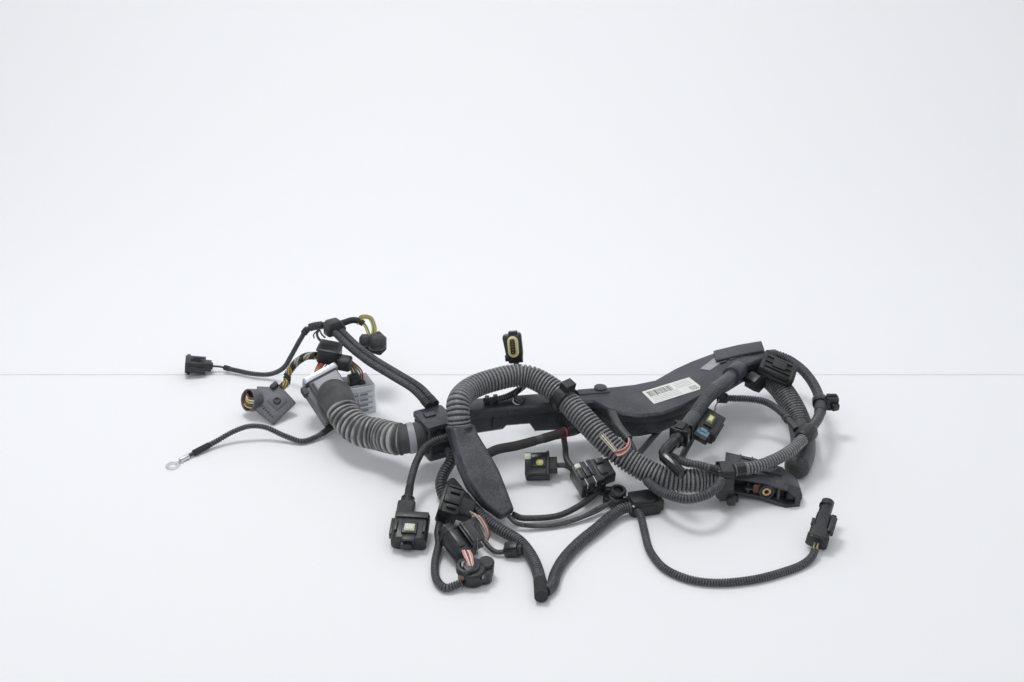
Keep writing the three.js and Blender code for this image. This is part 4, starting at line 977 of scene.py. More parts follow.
HOSE_ROUTE = [
    (-199.3, 67, 38.5), (-198, 61.5, 45.5), (-190, 38, 49.5), (-180, 18, 42), (-163, 1, 37),
    (-141, -10, 38), (-117.6, -28.6, 43.8), (-101.25, -26.23, 45), (-96.6, -24.1, 45),
]
HOSE_DIAMETER = 35
HOSE_MOUTH_DIAMETER = 38
HOSE_CUFF_DIAMETER = 31.5
HOSE_CUFF = 21
HOSE_CUFF_TAPER = 2
HOSE_RIBS = 15
HOSE_PITCH = 6.2
HOSE_RIB_DEPTH = 2.4
HOSE_MOUTH_TAPER_SHARE = 0.8
CLAMP_DIAMETER = 33.4
CLAMP_FROM_END = 14.5
CLAMP_TO_END = 8

hose_line = centripetal(HOSE_ROUTE)
hose_length = length_of(hose_line) / MM
hose_plain = hose_length - HOSE_CUFF - HOSE_RIBS * HOSE_PITCH
hose = ribbed(
    "bellows_hose_body", hose_line, HOSE_DIAMETER, "rubber",
    depth=HOSE_RIB_DEPTH, pitch=HOSE_PITCH, crest=0.3, start=hose_plain, end=HOSE_CUFF,
    start_diameter=HOSE_MOUTH_DIAMETER, end_diameter=HOSE_CUFF_DIAMETER,
    start_taper=hose_plain * HOSE_MOUTH_TAPER_SHARE, end_taper=HOSE_CUFF_TAPER,
    sides=48, rings=12, wrap=False)
dressed(hose, "rubber", "bellows_hose")
clamp_line = trimmed(hose_line, (hose_length - CLAMP_FROM_END) * MM, CLAMP_TO_END * MM)
clamp_band = ribbed("clamp_band", clamp_line, CLAMP_DIAMETER, "clamp_grey", sides=40)
assemble("hose_clamp", "light_plastic", clamp_band)

# Hood of the module plug: light face with two dark bars, flutes on the viewer's left with every other one
# painted lighter as painted highlight, and end pieces

hood = placed((-201, 77, 34), (-0.56, 0.61, 0.56), (0.15, -0.59, 0.79))
FLUTES_FROM = -10
FLUTE_PITCH = 3.6
FLUTE_LOOKS = ("hood_flute_highlight", "hood") * 3
assemble(
    "hood_details", "light_plastic",
    slab(hood, (30, 1.4, 47), (-2, 12.4, 0.5), 0.6, "light"),
    *[slab(hood, (1.6, 1.6, 46), (x, 12.6, 0), 0.4, "cap") for x in (14.8, 17.8)],
    *[slab(hood, (7, 2, 46), (21.4, FLUTES_FROM + FLUTE_PITCH * k, 0), 0.8, look)
      for k, look in enumerate(FLUTE_LOOKS)],
    slab(hood, (6, 12, 10), (25.5, 5, 21), 1, "cap"),
    slab(hood, (7, 13, 7), (17, 7, -25), 1.2, "cap"),
)

# Box above the module plug, in which the wires part: body, lid, side block and taped neck

trunk = placed((-208, 114, 70), (0.1, -0.15, 1), (0.16, 1, 0))
trunk_box = assemble(
    "wire_trunk_body", "sleeve",
    slab(trunk, (25, 20, 17), (0, 0, 4), 2.2, segments=3),
    slab(trunk, (27, 22, 3), (0, 0, 11), 1.2),
    slab(trunk, (16, 14, 16), (19, -5, -4), 3, "cap", segments=3),
    slab(trunk, (20, 16, 8), (-4, 0, -6), 3, "leads", segments=3),
)
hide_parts("wire_trunk")

# Loose wires from the box down into the module frame and into the light block

MODULE_WIRE = 1.9
FRAME_MOUTH = Vector((-216.5, 94, 50))
FRAME_COLOURS = ("red", "orange", "orange", "red", "brown", "pink", "orange", "yellow", "brown", "white")
BLOCK_COLOURS = ("yellow", "green", "brown", "beige", "white", "green", "red")


def slack_wire(start, end, share, bulge, first_bend, colour):
    """A wire that bulges out of the straight line between its ends."""
    middle = start.lerp(end, share) + bulge
    bend = start.lerp(middle, 0.5) + Vector(first_bend)
    return wire([start, bend, middle, end], MODULE_WIRE, colour + "_wire")


random.seed(7)
module_wires = []
for k, colour in enumerate(FRAME_COLOURS):
    start = FRAME_MOUTH + Vector((-8 + 2.1 * k, -1 + 1.5 * random.random(), 0.35 * k))
    end = Vector((-220 + 2.6 * k, 112 + 2 * random.random(), 62))
    bulge = Vector((-3 + 3 * random.random(), -4 - 2 * random.random(), 1.5))
    module_wires.append(slack_wire(start, end, 0.5, bulge, (0, -1, 1.5), colour))
for k, colour in enumerate(BLOCK_COLOURS):
    start = Vector((-186 + 2.2 * k, 112 + 2 * random.random(), 35))
    end = Vector((-196 + 1.6 * k, 116 + 3 * random.random(), 62))
    bulge = Vector((5 + 2 * random.random(), -3, 2))
    module_wires.append(slack_wire(start, end, 0.55, bulge, (1.5, 0, 1), colour))
assemble("module_wires", "wires", *module_wires)

# Light block: its two black plugs, its lid and the slots in its front

block = upright_at((-178, 113, 0), (-0.407, 0.914, 0))
assemble(
    "block_plugs", "plastic",
    slab(block, (13, 10, 13), (-6, -6, 42), 1.2),
    slab(block, (8, 7, 5), (2, -9, 38), 0.8),
    slab(block, (30, 29, 1.6), (0, 0, 36.4), 0.5, "light"),
    *[slab(block, (9, 1.2, 2.6), (x, -16.2, z), 0.4, "steel_grey")
      for x in (-9, 2) for z in (5, 12, 19, 26)],
)

# Tape on the sensor lead beside the branch cap, and the tails of a tie

assemble(
    "joint_details", "rubber",
    band("sensor_lead", 177, 16, 3.6, "leads"),
    band("sensor_lead", 166, 8, 2.2, "leads"),
    wire([(-224, 152, 84), (-226, 146, 80), (-223, 141, 76), (-219, 139, 73)], 3, "black_wire"),
    wire([(-224, 152, 84), (-220, 145, 80), (-216, 141, 78)], 2, "black_wire"),
    wire([(-226, 152, 82), (-230, 147, 79), (-229, 142, 77)], 1.6, "black_wire"),
)

# Wires that loop from the branch into the covered connector, and the round lumps of that connector

SOCKET_COLOURS = ("yellow_wire", "green_wire", "yellow_wire", "beige_wire")
assemble("socket_wires", "wires", *[
    wire([(-181, 167 + 1.5 * k, 82), (-175 - k, 170 + k, 88 + 0.8 * k), (-168 + k, 170, 88 + k),
          (-163.5 + 1.4 * k, 164, 81), (-164 + 1.6 * k, 158, 73)], 1.7, look)
    for k, look in enumerate(SOCKET_COLOURS)
])
covered = placed((-160, 150, 66), (0.15, -0.85, 0.45), (0, 0.5, 0.85))
assemble(
    "covered_details", "rubber",
    slab(covered, (15, 14, 19), (-11, 3, 7), 5, "cap", segments=4),
    slab(covered, (8, 2, 10), (-12, 9.6, 6), 0.8, "black_wire"),
    slab(covered, (21, 19, 24), (2, 1, 9), 7, "cap", segments=4),
    slab(covered, (20, 15, 3), (0, 1, -1.2), 1.4, "cap", segments=3),
    slab(covered, (8, 6, 3), (-3, 6, 0.8), 0.6, "steel_grey"),
)

# Plate connector: flat plate with a screwed boss, a tab and teeth, and the socket ring with its wires

PLATE_CORNERS = [
    (-293.9, 111, 29.5), (-265.5, 112.7, 27.2), (-248.2, 98.3, 15.6), (-271.6, 72.8, 2),
    (-293.5, 86.4, 13.1),
]
PLATE_THICKNESS = 5.5
BOSS = [(0, 0), (4.4, 0), (4.4, 1.6), (3.6, 2.4), (2.7, 2.4), (2.3, 1.2), (0, 1.2)]
RING = [(0, -6), (12.4, -6), (13, -5), (13, 6.5), (12.5, 7), (11.8, 7), (11.5, 6.5)]
RING_INSIDE = [(11.5, 6.5), (11.2, 5), (11, -3), (0, -3)]
RING_CORE = [(6.4, -4), (6.4, 0), (5, 1), (0, 1)]
RING_COLOURS = ("brown_wire", "white_wire", "yellow_wire", "brown_wire", "beige_wire")
plate = placed((-273, 97, 18), (0.62, 0.62, 0.35), (0.1, -0.55, 0.83))
socket = placed((-297.6, 97.1, 20), (-0.6, -0.59, 0.34), (0, 0, 1))
plate_body = assemble(
    "plate_connector_body", "plastic",
    sheet(PLATE_CORNERS, PLATE_THICKNESS, "plate", 1),
    slab(plate, (17, 1, 16), (-3, 3, 2), 0.4, "plate"),
    barrel(plate, BOSS, (-3, 3.2, 2), "cap", aim=(0, 1, 0)),
    slab(plate, (6, 8, 9), (13.5, 2, 13.5), 0.8, "cap"),
    *[slab(plate, (1.4, 1.6, 2.6), (-13.5 + 3.7 * k, 3, -15.5 + 0.3 * k), 0.3, "cap") for k in range(6)],
    barrel(socket, RING, look="plate"),
    barrel(socket, RING_INSIDE, look="copper_brown"),
    barrel(socket, RING_CORE, (-1, -3.5, 0), sides=20),
    *[wire([(-10, 4 - 3 * k, 0), (-5, 6 - 3.2 * k, 5.4), (2, 3.6 - 2.8 * k, 7), (10.4, 6 - 3 * k, 5.4)],
           2.1, look, socket) for k, look in enumerate(RING_COLOURS)],
)
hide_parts("plate_connector")

# Sensor connector: lips of its mouth, latch bridge and seal

sensor = on_end("sensor_lead", False)
assemble(
    "sensor_details", "plastic",
    slab(sensor, (22.6, 1.6, 4), (0, 7.6, 27), 0.4),
    slab(sensor, (22.6, 1.6, 4), (0, -7.6, 27), 0.4),
    slab(sensor, (5, 1.6, 13), (0, 10.3, 16), 0.5),
    barrel(sensor, [(4.2, -0.5), (4.6, 0.4), (4.2, 1.4), (0, 1.4)], (0, 0, -1.2), "cap"),
)

# Junction box at the end of the duct: catches, ribs, a latch and a raised pad on its lid

box = upright_at((-82, -16, 22), (-0.469, 0.883, 0))
assemble(
    "box_details", "duct",
    slab(box, (3, 30, 5), (-15.6, 0, 34), 0.8, "duct"),
    *[slab(box, (24, 1.4, 2), (0, -18.3, z), 0.4, "duct") for z in (8, 16)],
    slab(box, (6, 5, 22), (11, -19, 26), 1),
    *[slab(box, (5, 3, 5), (x, -19.6, 37), 0.6) for x in (-9, 1)],
    slab(box, (12, 9, 3), (-4, 4, 43.5), 1, "duct"),
)

# Label and light grey patch on the cover

LABEL = [(153.1, 13.6, 62.3), (210.1, 47, 63), (197.6, 72.3, 63), (142.4, 40.2, 62.3)]
GREY_PATCH = [(212, 91, 63.7), (223, 86.5, 64.1), (243, 112, 64.7), (232, 117, 64.4)]
PATCH_THICKNESS = 0.3
PATCH_COLUMNS = 12
PATCH_ROWS = 6


def sheet_patch(name, corners, look, lift):
    """A thin label through four layout corners, from its lower left round to the right."""
    low_left, low_right, high_right, high_left = (point(c) for c in corners)
    mesh = bpy.data.meshes.new(name)
    shape = bmesh.new()
    uv = shape.loops.layers.uv.new("UVMap")

    def at(column, row):
        along, up = column / PATCH_COLUMNS, row / PATCH_ROWS
        low, high = low_left.lerp(low_right, along), high_left.lerp(high_right, along)
        return low.lerp(high, up) + Vector((0, 0, lift * MM))

    columns, rows = range(PATCH_COLUMNS), range(PATCH_ROWS)
    grid = [[shape.verts.new(at(i, j)) for i in range(PATCH_COLUMNS + 1)] for j in range(PATCH_ROWS + 1)]
    for j in rows:
        for i in columns:
            corners = ((i, j), (i + 1, j), (i + 1, j + 1), (i, j + 1))
            face = shape.faces.new([grid[row][column] for column, row in corners])
            for loop, (column, row) in zip(face.loops, corners):
                loop[uv].uv = (column / PATCH_COLUMNS, row / PATCH_ROWS)
    shape.to_mesh(mesh)
    shape.free()
    mesh.materials.append(LOOKS[look])
    obj = linked(name, mesh)
    solid = obj.modifiers.new("thickness", "SOLIDIFY")
    solid.thickness = PATCH_THICKNESS * MM
    solid.offset = 0
    return evaluated_mesh(obj, name)


assemble("cover_label", "light_plastic", sheet_patch("cover_label", LABEL, "label", 0.25))
assemble("cover_grey_patch", "light_plastic", sheet_patch("cover_grey_patch", GREY_PATCH, "grey_patch", 0.2))

# Cover and tray of the duct: catches along the raised end, bosses, clips on the edge and wall ribs

RAISED_END_CATCHES = ((240, 104.5), (252, 112), (264, 118.5), (276, 124.5))
RAISED_END_BUMPS = ((244, 122), (256, 128), (268, 134))
EDGE_CLIPS = ((-35, 0.6, 12), (0, 6.3, 10), (44, 13.9, 9), (72, 18.6, 7))
WALL_RIBS = ((-20, 4.4), (36, 14.5), (52, 17.6), (68, 20), (84, 21.4))
assemble(
    "cover_details", "duct",
    *[slab(LAYOUT, (9, 3, 5), (x, y, 64), 0.8, "duct", turn=31) for x, y in RAISED_END_CATCHES],
    *[slab(LAYOUT, (3, 5, 1.4), (x, y, 66.2), 0.4, turn=28) for x, y in RAISED_END_BUMPS],
    slab(LAYOUT, (36, 12, 6), (89.2, 40.9, 61.5), 2.8, "duct", segments=4, turn=9),
    *[slab(LAYOUT, (10, 2.4, 5), (x, y, 58), 0.6, "duct", turn=turn) for x, y, turn in EDGE_CLIPS],
)
assemble("tray_ribs", "duct", *[slab(LAYOUT, (2, 3, 14), (x, y, 44), 0.5, "duct") for x, y in WALL_RIBS])

# Clips of the rim conduit, and the hook with its white tie under the loop

assemble(
    "rim_clips", "plastic",
    *[slab(LAYOUT, (5, 10, 8), (x, y, 65.5), 1) for x, y in ((-27, 16), (-18, 18.5))],
    wire([(12, 36, 72), (9, 24, 74), (4, 17, 72), (5, 12, 67), (11, 11.5, 66), (13, 15, 69)],
         4.2, "black_wire"),
    wire([(3, 16, 70), (1, 13, 66), (5, 11, 63.6), (12, 14, 63.4)], 1.3, "tie"),
)

# Upright connector: cream frame, lime seal and dark slot with its contacts, rear rim, latch and collar

upright = on_end("rim_conduit", True, (0, -1, 0))
assemble(
    "upright_details", "plastic",
    pad(upright, (12, 2.4, 23.5), (1.4, 7.4, 18.5), 6, "cream", 0.8),
    pad(upright, (9, 1, 20), (1.6, 8.6, 18.8), 4.5, "lime"),
    pad(upright, (5.6, 1, 17), (1.8, 9.2, 19), 2.2, "black_wire"),
    *[pad(upright, (3, 0.8, 1.9), (1.8, 9.8, 12.6 + 3.1 * k), 0.9, "rust", 0.2) for k in range(5)],
    slab(upright, (10, 9, 3.4), (0.5, 2, 33.4), 0.7),
    slab(upright, (4, 5, 7), (9.5, 4, 6), 0.8),
    slab(upright, (16, 11, 3), (0, 0, 1.5), 0.8),
)

# Hanging connector: lime and cream lock, pale corner, rims and ribs

hanging = placed((48, -36, 16), (-0.93, 0.04, -0.06), (0.1, -0.5, 0.8))
assemble(
    "hanging_details", "plastic",
    pad(hanging, (6.5, 1.4, 7.5), (1, 10.4, 18), 2.4, "lime"),
    pad(hanging, (3.4, 1.2, 4.4), (1, 11.2, 18), 1.5, "cream"),
    slab(hanging, (7, 1.6, 7), (-7.5, 8.2, 31), 0.5, "pale"),
    slab(hanging, (27.4, 16.4, 3), (0, 0, 9.6), 0.7),
    slab(hanging, (27.4, 3, 24), (0, -6.4, 21), 0.8),
    *[slab(hanging, (1.2, 16.2, 20), (x, 0, 22), 0.4) for x in (-11, -5, 7, 12)],
)

# Blade connector: sleeve with pale stripes painted as highlights on its rims, ribs, base, pale corner, and
# latches

blade = placed((102.3, -67.4, 30.5), (-0.86, -0.36, -0.12), (0, -0.4, 0.9))
assemble(
    "blade_details", "plastic",
    slab(blade, (28.4, 20.6, 20), (0, 0.2, 28.4), 0.8),
    # Thin pale bands round the sleeve: painted highlight
    *[slab(blade, (29, 21.6, 0.7), (0, 0.4, z), 0.2, "tie") for z in (24.5, 34)],
    *[slab(blade, (29.2, 21.8, 1.4), (0, 0.4, z), 0.3) for z in (29.4, 38)],
    slab(blade, (30, 3, 25), (0, -9.6, 27), 0.8),
    slab(blade, (5, 5, 6), (-9, 12, 35), 0.6, "pale"),
    slab(blade, (24, 18, 3), (0, 0, 12), 1),
    slab(blade, (12, 3, 8), (2, 9.6, 12), 0.8),
    slab(blade, (6, 4, 9), (-8, 9.8, 10), 0.8),
)

# Lock connector: green and cream lock, blue-grey seal, rims, and the brown wire at its back

lock = placed((198.3, -31.9, 46.6), (0.42, 0.82, 0.12), (0.2, -0.4, 0.9))
assemble(
    "lock_details", "plastic",
    slab(lock, (7, 1, 13), (1, 9.2, 25), 0.5, "green_wire"),
    pad(lock, (4.4, 1.6, 8), (1, 9.8, 25), 1, "cream"),
    slab(lock, (14, 6, 9), (1, 4.6, 3), 1.2, "blue_grey"),
    slab(lock, (8, 3, 5), (1, 7.4, 5), 0.8, "blue_grey"),
    slab(lock, (26.4, 14.4, 3), (0, 0, 10), 0.8),
    slab(lock, (26.4, 3, 28), (0, -5.4, 26), 0.8),
    wire([(1, 4, 36), (2, 8, 42), (4, 9, 48), (4, 13, 55)], 1.5, "brown_wire", lock),
)

# Flat connector: rims at both ends, raised middle, grey side strips and a side rib

flat = placed((282.3, 101.4, 67.4), (0.85, -0.25, -0.3), (0.3, -0.35, 0.85))
assemble(
    "flat_details", "plastic",
    *[slab(flat, (29, 12, 4), (0, 0, z), 0.8) for z in (3, 37)],
    slab(flat, (12, 2, 16), (0, 7.2, 20), 0.6),
    *[slab(flat, (1.2, 1, 34), (x, -5.4, 20), 0.3, "steel_grey") for x in (-11.5, 11.5)],
    slab(flat, (3.4, 3.4, 36), (-14, -2, 20), 0.8),
)

# Elbow connector at the end of the outlet tube: ribbed collar between two rims, and a latch

elbow_collar = on_end("outlet_tube", True)
assemble(
    "elbow_details", "plastic",
    *[slab(elbow_collar, (1.2, 20.4, 12), (x, 0, 8), 0.4) for x in (-6, -2, 2, 6)],
    *[slab(elbow_collar, (20.6, 20.6, 2.2), (0, 0, z), 0.8) for z in (2, 14.5)],
    slab(elbow_collar, (9, 3, 12), (0, 10.8, 8), 0.8),
)

# Nose connector: rim, latches and the rings of its nose

nose = on_end("front_lead", True, (0, -0.4, 1))
assemble(
    "nose_details", "plastic",
    slab(nose, (21.5, 17.5, 3), (0, 0, 3), 1.2),
    slab(nose, (5, 4, 22), (-9, 7.4, 22), 0.8),
    slab(nose, (3, 2.5, 9), (9.2, 5, 20), 0.6),
    barrel(nose, [(6.9, 0), (6.9, 2), (0, 2)], (1, 0, 47)),
    barrel(nose, [(6.9, 0), (6.9, 1.4), (6.3, 1.4)], (1, 0, 31)),
)

# Link clamp: its two jaws, feet and hinge, and the collars of the conduits that it holds

clamp = upright_at((217.5, -85, 29), (0, 1, 0))
LINK_COLLAR = 12
assemble(
    "clamp_details", "plastic",
    slab(clamp, (18, 7, 32), (0, -6, 0), 1.4),
    slab(clamp, (18, 7, 30), (0, 8, -1), 1.4),
    slab(clamp, (9, 10, 9), (6, -14, -15), 1.6),
    slab(clamp, (10, 8, 7), (10, -6, -18), 1.4),
    slab(clamp, (15, 3, 5), (0, -14.6, 8), 0.8),
)
assemble(
    "clamp_collars", "plastic",
    band("ribbed_link", length_of(LINES["ribbed_link"]) / MM - LINK_COLLAR, 11, 0.9, "gloss"),
    band("clamp_lead", 1, 10, 0.8, "gloss"),
)

# Lower bracket: what shows in its window, stiffening ribs, and the collar of the brass insert

BRACKET_RIBS = ((238, -52, 32.2), (250, -55, 31), (262, -60, 29.6), (274, -66, 28))
bracket = placed((262, -86, 15), (0, -1, 0), (0, 0, 1))
assemble(
    "bracket_details", "duct",
    slab(bracket, (30, 11, 3), (2, 0, -7), 1.2, "rust"),
    slab(bracket, (9, 2, 6), (-18, 3, -3), 0.6, "duct"),
    slab(LAYOUT, (14, 15, 13), (289, -80, 9), 4, segments=4),
    slab(LAYOUT, (10, 12, 9), (296, -76, 5), 3, segments=3),
    *[slab(LAYOUT, (1.8, 22, 2), rib, 0.5, "duct", turn=-14) for rib in BRACKET_RIBS],
    slab(LAYOUT, (34, 1.8, 2.4), (262, -71, 29.4), 0.5, "duct", turn=-16),
    barrel(bracket, [(7.6, -1), (7.6, 0.8), (6.6, 0.8), (6.6, -1)], look="duct"),
)

# Domed end of the thick hose

HOSE_DOME = [(13.5, -3), (13.5, 0), (12.8, 3.2), (11, 6.2), (8, 8.6), (4.4, 10), (0, 10.4)]
assemble("hose_cap", "sleeve", barrel(on_end("woven_hose", True), HOSE_DOME, look="cap", sides=36))

# Tape on the arcs, and the hook of the arc clip

ARC_HOOK = Vector((354.7, 50, 43))
assemble(
    "arc_details", "plastic",
    band("outer_arc", 128, 26, 1.4, "leads"),
    band("inner_arc", 88, 8, 1.6, "leads"),
    band("outer_arc", 8, 12, 2, "leads"),
    slab(LAYOUT, (12, 5, 7), ARC_HOOK + Vector((0, 5, 5)), 1.6, segments=3),
    slab(LAYOUT, (9, 6, 8), ARC_HOOK + Vector((3, -4, -3)), 1.8, segments=3, turn=25),
    slab(LAYOUT, (6, 4, 14), ARC_HOOK + Vector((4, 0, 0)), 1.2, segments=3),
)

# Elbow plug: rim, cream window with its pale key, side ribs, front lip, side flange and neck rings

plug = on_end("boot_cable", True, (0, -0.5, 1))
NECK_RING = [(6.4, 0), (7, 0.8), (7, 1.8), (6.4, 2.6)]
assemble(
    "elbow_plug_details", "plastic",
    slab(plug, (33, 2, 8), (8, 9.6, 29), 0.8),
    slab(plug, (10, 1.4, 8.6), (8, 12.6, 48), 0.5, "cream"),
    slab(plug, (8, 2.4, 7.2), (8, 13, 48), 0.6, "pale"),
    *[slab(plug, (3, 2.4, 14), (x, 9.8, 44), 0.7) for x in (-6, 22)],
    slab(plug, (13, 3, 8), (8, 8.6, 58), 0.8),
    slab(plug, (4, 8, 22), (-10.5, 0, 40), 1.2),
    *[barrel(plug, NECK_RING, (0, 0, z)) for z in (-1, 2.6, 9)],
)

# Pin connector: rim, latch, cheeks, pins in two rows, and side locks; then its striped wires

PIN_COLUMNS = 4
PIN_ROWS = 2
PIN_COLUMN_PITCH = 6
PIN_ROW_PITCH = 8
pins = placed((-52.6, -130.7, 25.3), (-0.85, 0.1, 0.25), (0.25, -0.4, 0.85))
pin_places = [
    ((column - (PIN_COLUMNS - 1) / 2) * PIN_COLUMN_PITCH, (row - (PIN_ROWS - 1) / 2) * PIN_ROW_PITCH, 14.6)
    for column in range(PIN_COLUMNS) for row in range(PIN_ROWS)
]
assemble(
    "pin_details", "plastic",
    slab(pins, (31.4, 23.4, 2.4), (0, 0, 18), 0.8),
    slab(pins, (10, 3, 16), (0, 12, 9), 0.8),
    *[slab(pins, (2, 24, 14), (x, 0, 9), 0.5) for x in (-15.2, 15.2)],
    *[slab(pins, (2.2, 2.2, 1), pin, 0.3, "rust") for pin in pin_places],
    *[slab(pins, (4, 3, 10), (x, 12.4, 8), 0.6) for x in (-9, 9)],
)
PIN_COLOURS = ("beige", "white", "pink", "red", "pink", "white", "beige", "brown")
assemble("pin_wires", "wires", *[
    wire([(-42 + 0.6 * k, -139 - 0.9 * k, 27 - 0.5 * k), (-37 + 0.9 * k, -145 - 0.6 * k, 27.5),
          (-31 + 0.8 * k, -152 - 0.4 * k, 23.5), (-25.5 + 0.5 * k, -160 - 0.3 * k, 16),
          (-26 + 0.3 * k, -164, 9.5)], 1.7, colour + "_wire")
    for k, colour in enumerate(PIN_COLOURS)
])

# Sleeve connector: rear ring, top rib, grey edge strip, and the black lead at its front

sleeve = placed((-62, -167, 20.5), (0.5, -0.75, -0.28), (0, -0.3, 1))
assemble(
    "sleeve_details", "plastic",
    barrel(sleeve, [(11.2, 0), (11.8, 0.8), (11.8, 3), (11.2, 3.8)], (0, 0, 1)),
    slab(sleeve, (6, 2, 24), (0, 11, 15), 0.7),
    slab(sleeve, (1, 26, 1.2), (16, 0, 28), 0.3, "steel_grey"),
    wire([(2, 3, 30), (3, 5, 38), (4, 3, 44)], 4, "black_wire", sleeve),
)

# Round connector: metal window, brown seal, wire mouth, side post and web; then its wires

round_plug = placed((-38, -216, 3), (0.05, -0.2, 1), (0, 1, 0))
ROUND_MOUTH = [(9.5, 12), (9.5, 19), (8.6, 19.6), (6.4, 19.6), (6.4, 14)]
ROUND_POST = [(7.6, 0), (7.6, 15), (6.8, 16), (0, 16)]
assemble(
    "round_details", "plastic",
    slab(round_plug, (12, 9, 12), (-5, 2, 13), 1.2, "steel_grey"),
    slab(round_plug, (14, 6, 7), (-5, -8, 11), 1.6, "copper_brown"),
    barrel(round_plug, ROUND_MOUTH, (-6, -1, 0)),
    barrel(round_plug, ROUND_POST, (13, 8, 0)),
    slab(round_plug, (5, 22, 4), (11, -2, 12), 1.4),
)
ROUND_COLOURS = ("pink_wire", "white_wire", "red_wire", "white_wire", "pink_wire")
assemble("round_wires", "wires", *[
    wire([(-47 + 1.6 * k, -203, 26), (-45.5 + 1.9 * k, -209, 25.5), (-42 + 1.3 * k, -217, 23),
          (-38.5 + 0.9 * k, -225, 17.5)], 1.8, look)
    for k, look in enumerate(ROUND_COLOURS)
])

# Small connector on the short lead beside the folded conduit

small = placed((-2, -176, 7.4), (0.9, -0.2, 0.2), (0, -0.3, 1))
assemble(
    "small_connector", "plastic",
    slab(small, (13, 11, 15), (0, 0, 2), 2, segments=3),
    slab(small, (8, 4, 12), (0, 6, 3), 0.8),
    barrel(small, [(5.5, 0), (5.5, 5), (0, 5)], (0, 0, 8)),
)

# Branch housing and black connector: end blocks, ribs, mouth ring and the ends of their ties

junction = upright_at((135, -98, 1), (-0.247, 0.969, 0))
assemble(
    "junction_details", "plastic",
    slab(junction, (6, 17, 13), (15.5, -2, 9), 2.4, segments=3),
    slab(junction, (22, 2, 2), (-3, -10.5, 11), 0.6),
    slab(junction, (8, 8, 10), (-15, -6, 8), 1.8),
    slab(junction, (1.6, 5, 1), (-15, -9, 13.6), 0.3, "tie"),
)
black = placed((107.4, -86.3, 3), (0.05, -0.2, 1), (0, 1, 0))
assemble(
    "black_details", "plastic",
    barrel(black, [(8.6, 8), (8.6, 15), (7.6, 16), (5.2, 16), (5.2, 12)], (1, 2, 0)),
    slab(black, (8, 6, 10), (-9, 5, 10), 1.6),
    slab(black, (7, 6, 12), (9, -5, 8), 1.4),
    slab(black, (1.4, 4, 1), (10, -4, 14.4), 0.3, "tie"),
)

# Tape on the duct cable, and the loose wires that hang over the loop

assemble(
    "cable_tapes", "sleeve",
    band("duct_cable", 84, 8, 1.2, "dark_tape"),
    band("duct_cable", 92.5, 3.2, 1.8, "red_tape"),
    band("duct_cable", 96, 10, 1, "leads"),
)
STRAIGHT_COLOURS = ((-1, "beige_wire"), (0, "white_wire"), (1, "beige_wire"))
BENT_COLOURS = ("pink_wire", "red_wire", "pink_wire", "white_wire", "brown_wire")
assemble(
    "loose_wires", "wires",
    *[wire([(92.1 + 1.8 * k, -58.7 + 2.8 * k, 67), (98.9 + 1.6 * k, -67.1 + 2.5 * k, 62.6),
            (105.8 + 1.4 * k, -74.6 + 2.3 * k, 57.4)], 1.5, look) for k, look in STRAIGHT_COLOURS],
    *[wire([(104 + 1.1 * k, -71 - 0.7 * k, 55 - 1.3 * k), (110 + k, -71.5, 56 - 1.4 * k),
            (117 + 0.6 * k, -66, 56.5 - k), (121 + 0.4 * k, -56, 58 - k), (121, -48, 57)], 1.9, look)
      for k, look in enumerate(BENT_COLOURS)],
)


# Stage, in metres: a pale floor that sweeps up into a wall, and the joint between its two boards

STAGE_HALF_WIDTH = 6
FLOOR_NEAR = -4
FLOOR_FAR = 0.5
SWEEP_RADIUS = 0.9
SWEEP_STEPS = 24
WALL_TOP = 5
JOINT_NEAR = 0.2046
JOINT_FAR = 0.2056
JOINT_LIFT = 0.0002
PAPER = (0.86, 0.868, 0.885)
PAPER_ROUGHNESS = 0.9
JOINT_GREY = (0.56, 0.56, 0.57)


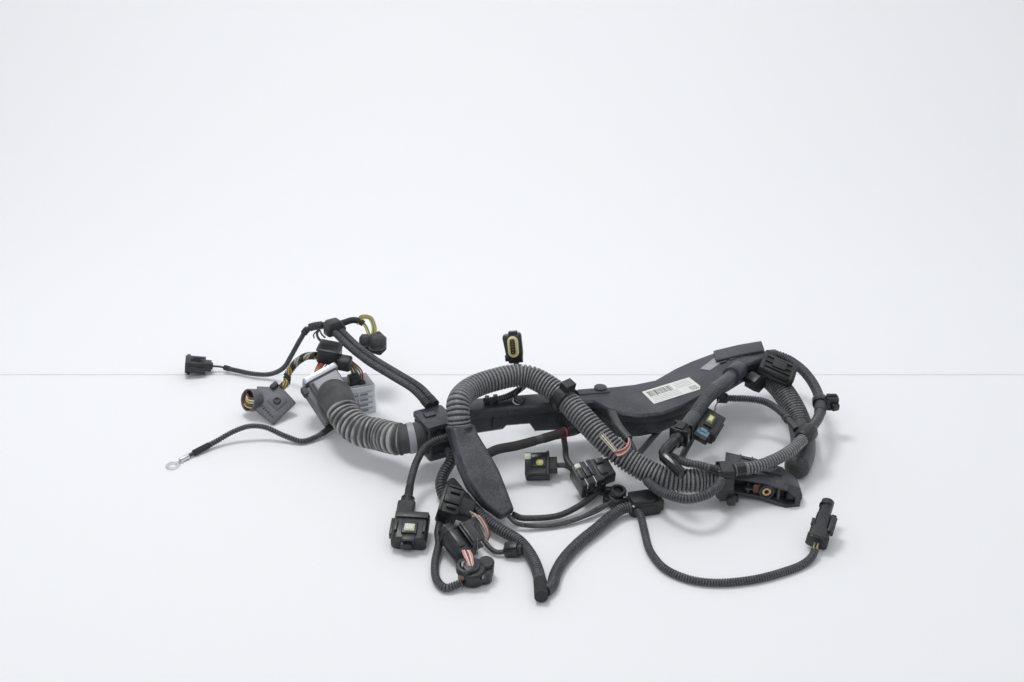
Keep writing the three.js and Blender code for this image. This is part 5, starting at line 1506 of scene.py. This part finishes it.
def stage_mesh(name, outline, look, colour):
    """A strip of the set in plain paper, its outline in Y and Z, spread along X."""
    material = bpy.data.materials.new(look)
    material.use_nodes = True
    shader = material.node_tree.nodes["Principled BSDF"]
    shader.inputs["Base Color"].default_value = (*colour, 1)
    shader.inputs["Roughness"].default_value = PAPER_ROUGHNESS
    mesh = bpy.data.meshes.new(name)
    vertices = [(x, y, z) for y, z in outline for x in (-STAGE_HALF_WIDTH, STAGE_HALF_WIDTH)]
    faces = [(2 * i, 2 * i + 1, 2 * i + 3, 2 * i + 2) for i in range(len(outline) - 1)]
    mesh.from_pydata(vertices, [], faces)
    mesh.update()
    mesh.shade_smooth()
    mesh.materials.append(material)
    linked(name, mesh)


sweep_angles = [math.pi / 2 * k / SWEEP_STEPS for k in range(1, SWEEP_STEPS + 1)]
sweep = [(FLOOR_FAR + SWEEP_RADIUS * math.sin(a), SWEEP_RADIUS * (1 - math.cos(a))) for a in sweep_angles]
backdrop = [(FLOOR_NEAR, 0), (FLOOR_FAR, 0), *sweep, (FLOOR_FAR + SWEEP_RADIUS, WALL_TOP)]
stage_mesh("backdrop", backdrop, "paper", PAPER)
stage_mesh("board_joint", [(JOINT_NEAR, JOINT_LIFT), (JOINT_FAR, JOINT_LIFT)], "joint", JOINT_GREY)


# Light: three soft lamps and a pale world

def lamp(name, at, size, power, target=(0, 0, 0.04)):
    """A round area lamp of a size in metres and a power in watts, aimed at the target."""
    data = bpy.data.lights.new(name, "AREA")
    data.shape = "DISK"
    data.size = size
    data.energy = power
    obj = linked(name, data)
    obj.location = at
    obj.rotation_euler = (Vector(target) - Vector(at)).to_track_quat("-Z", "Y").to_euler()


lamp("key", (-0.4, 0.25, 1.9), 0.6, 14)
lamp("front", (-0.5, -1.9, 2.4), 1.6, 11)
lamp("back", (0.8, 1.0, 2.6), 2.2, 13, (0.6, 1.4, 0.6))

WORLD_COLOUR = (0.95, 0.97, 1.0, 1)
WORLD_STRENGTH = 0.5
world = bpy.data.worlds.new("studio")
world.use_nodes = True
background = world.node_tree.nodes["Background"]
background.inputs["Color"].default_value = WORLD_COLOUR
background.inputs["Strength"].default_value = WORLD_STRENGTH
bpy.context.scene.world = world
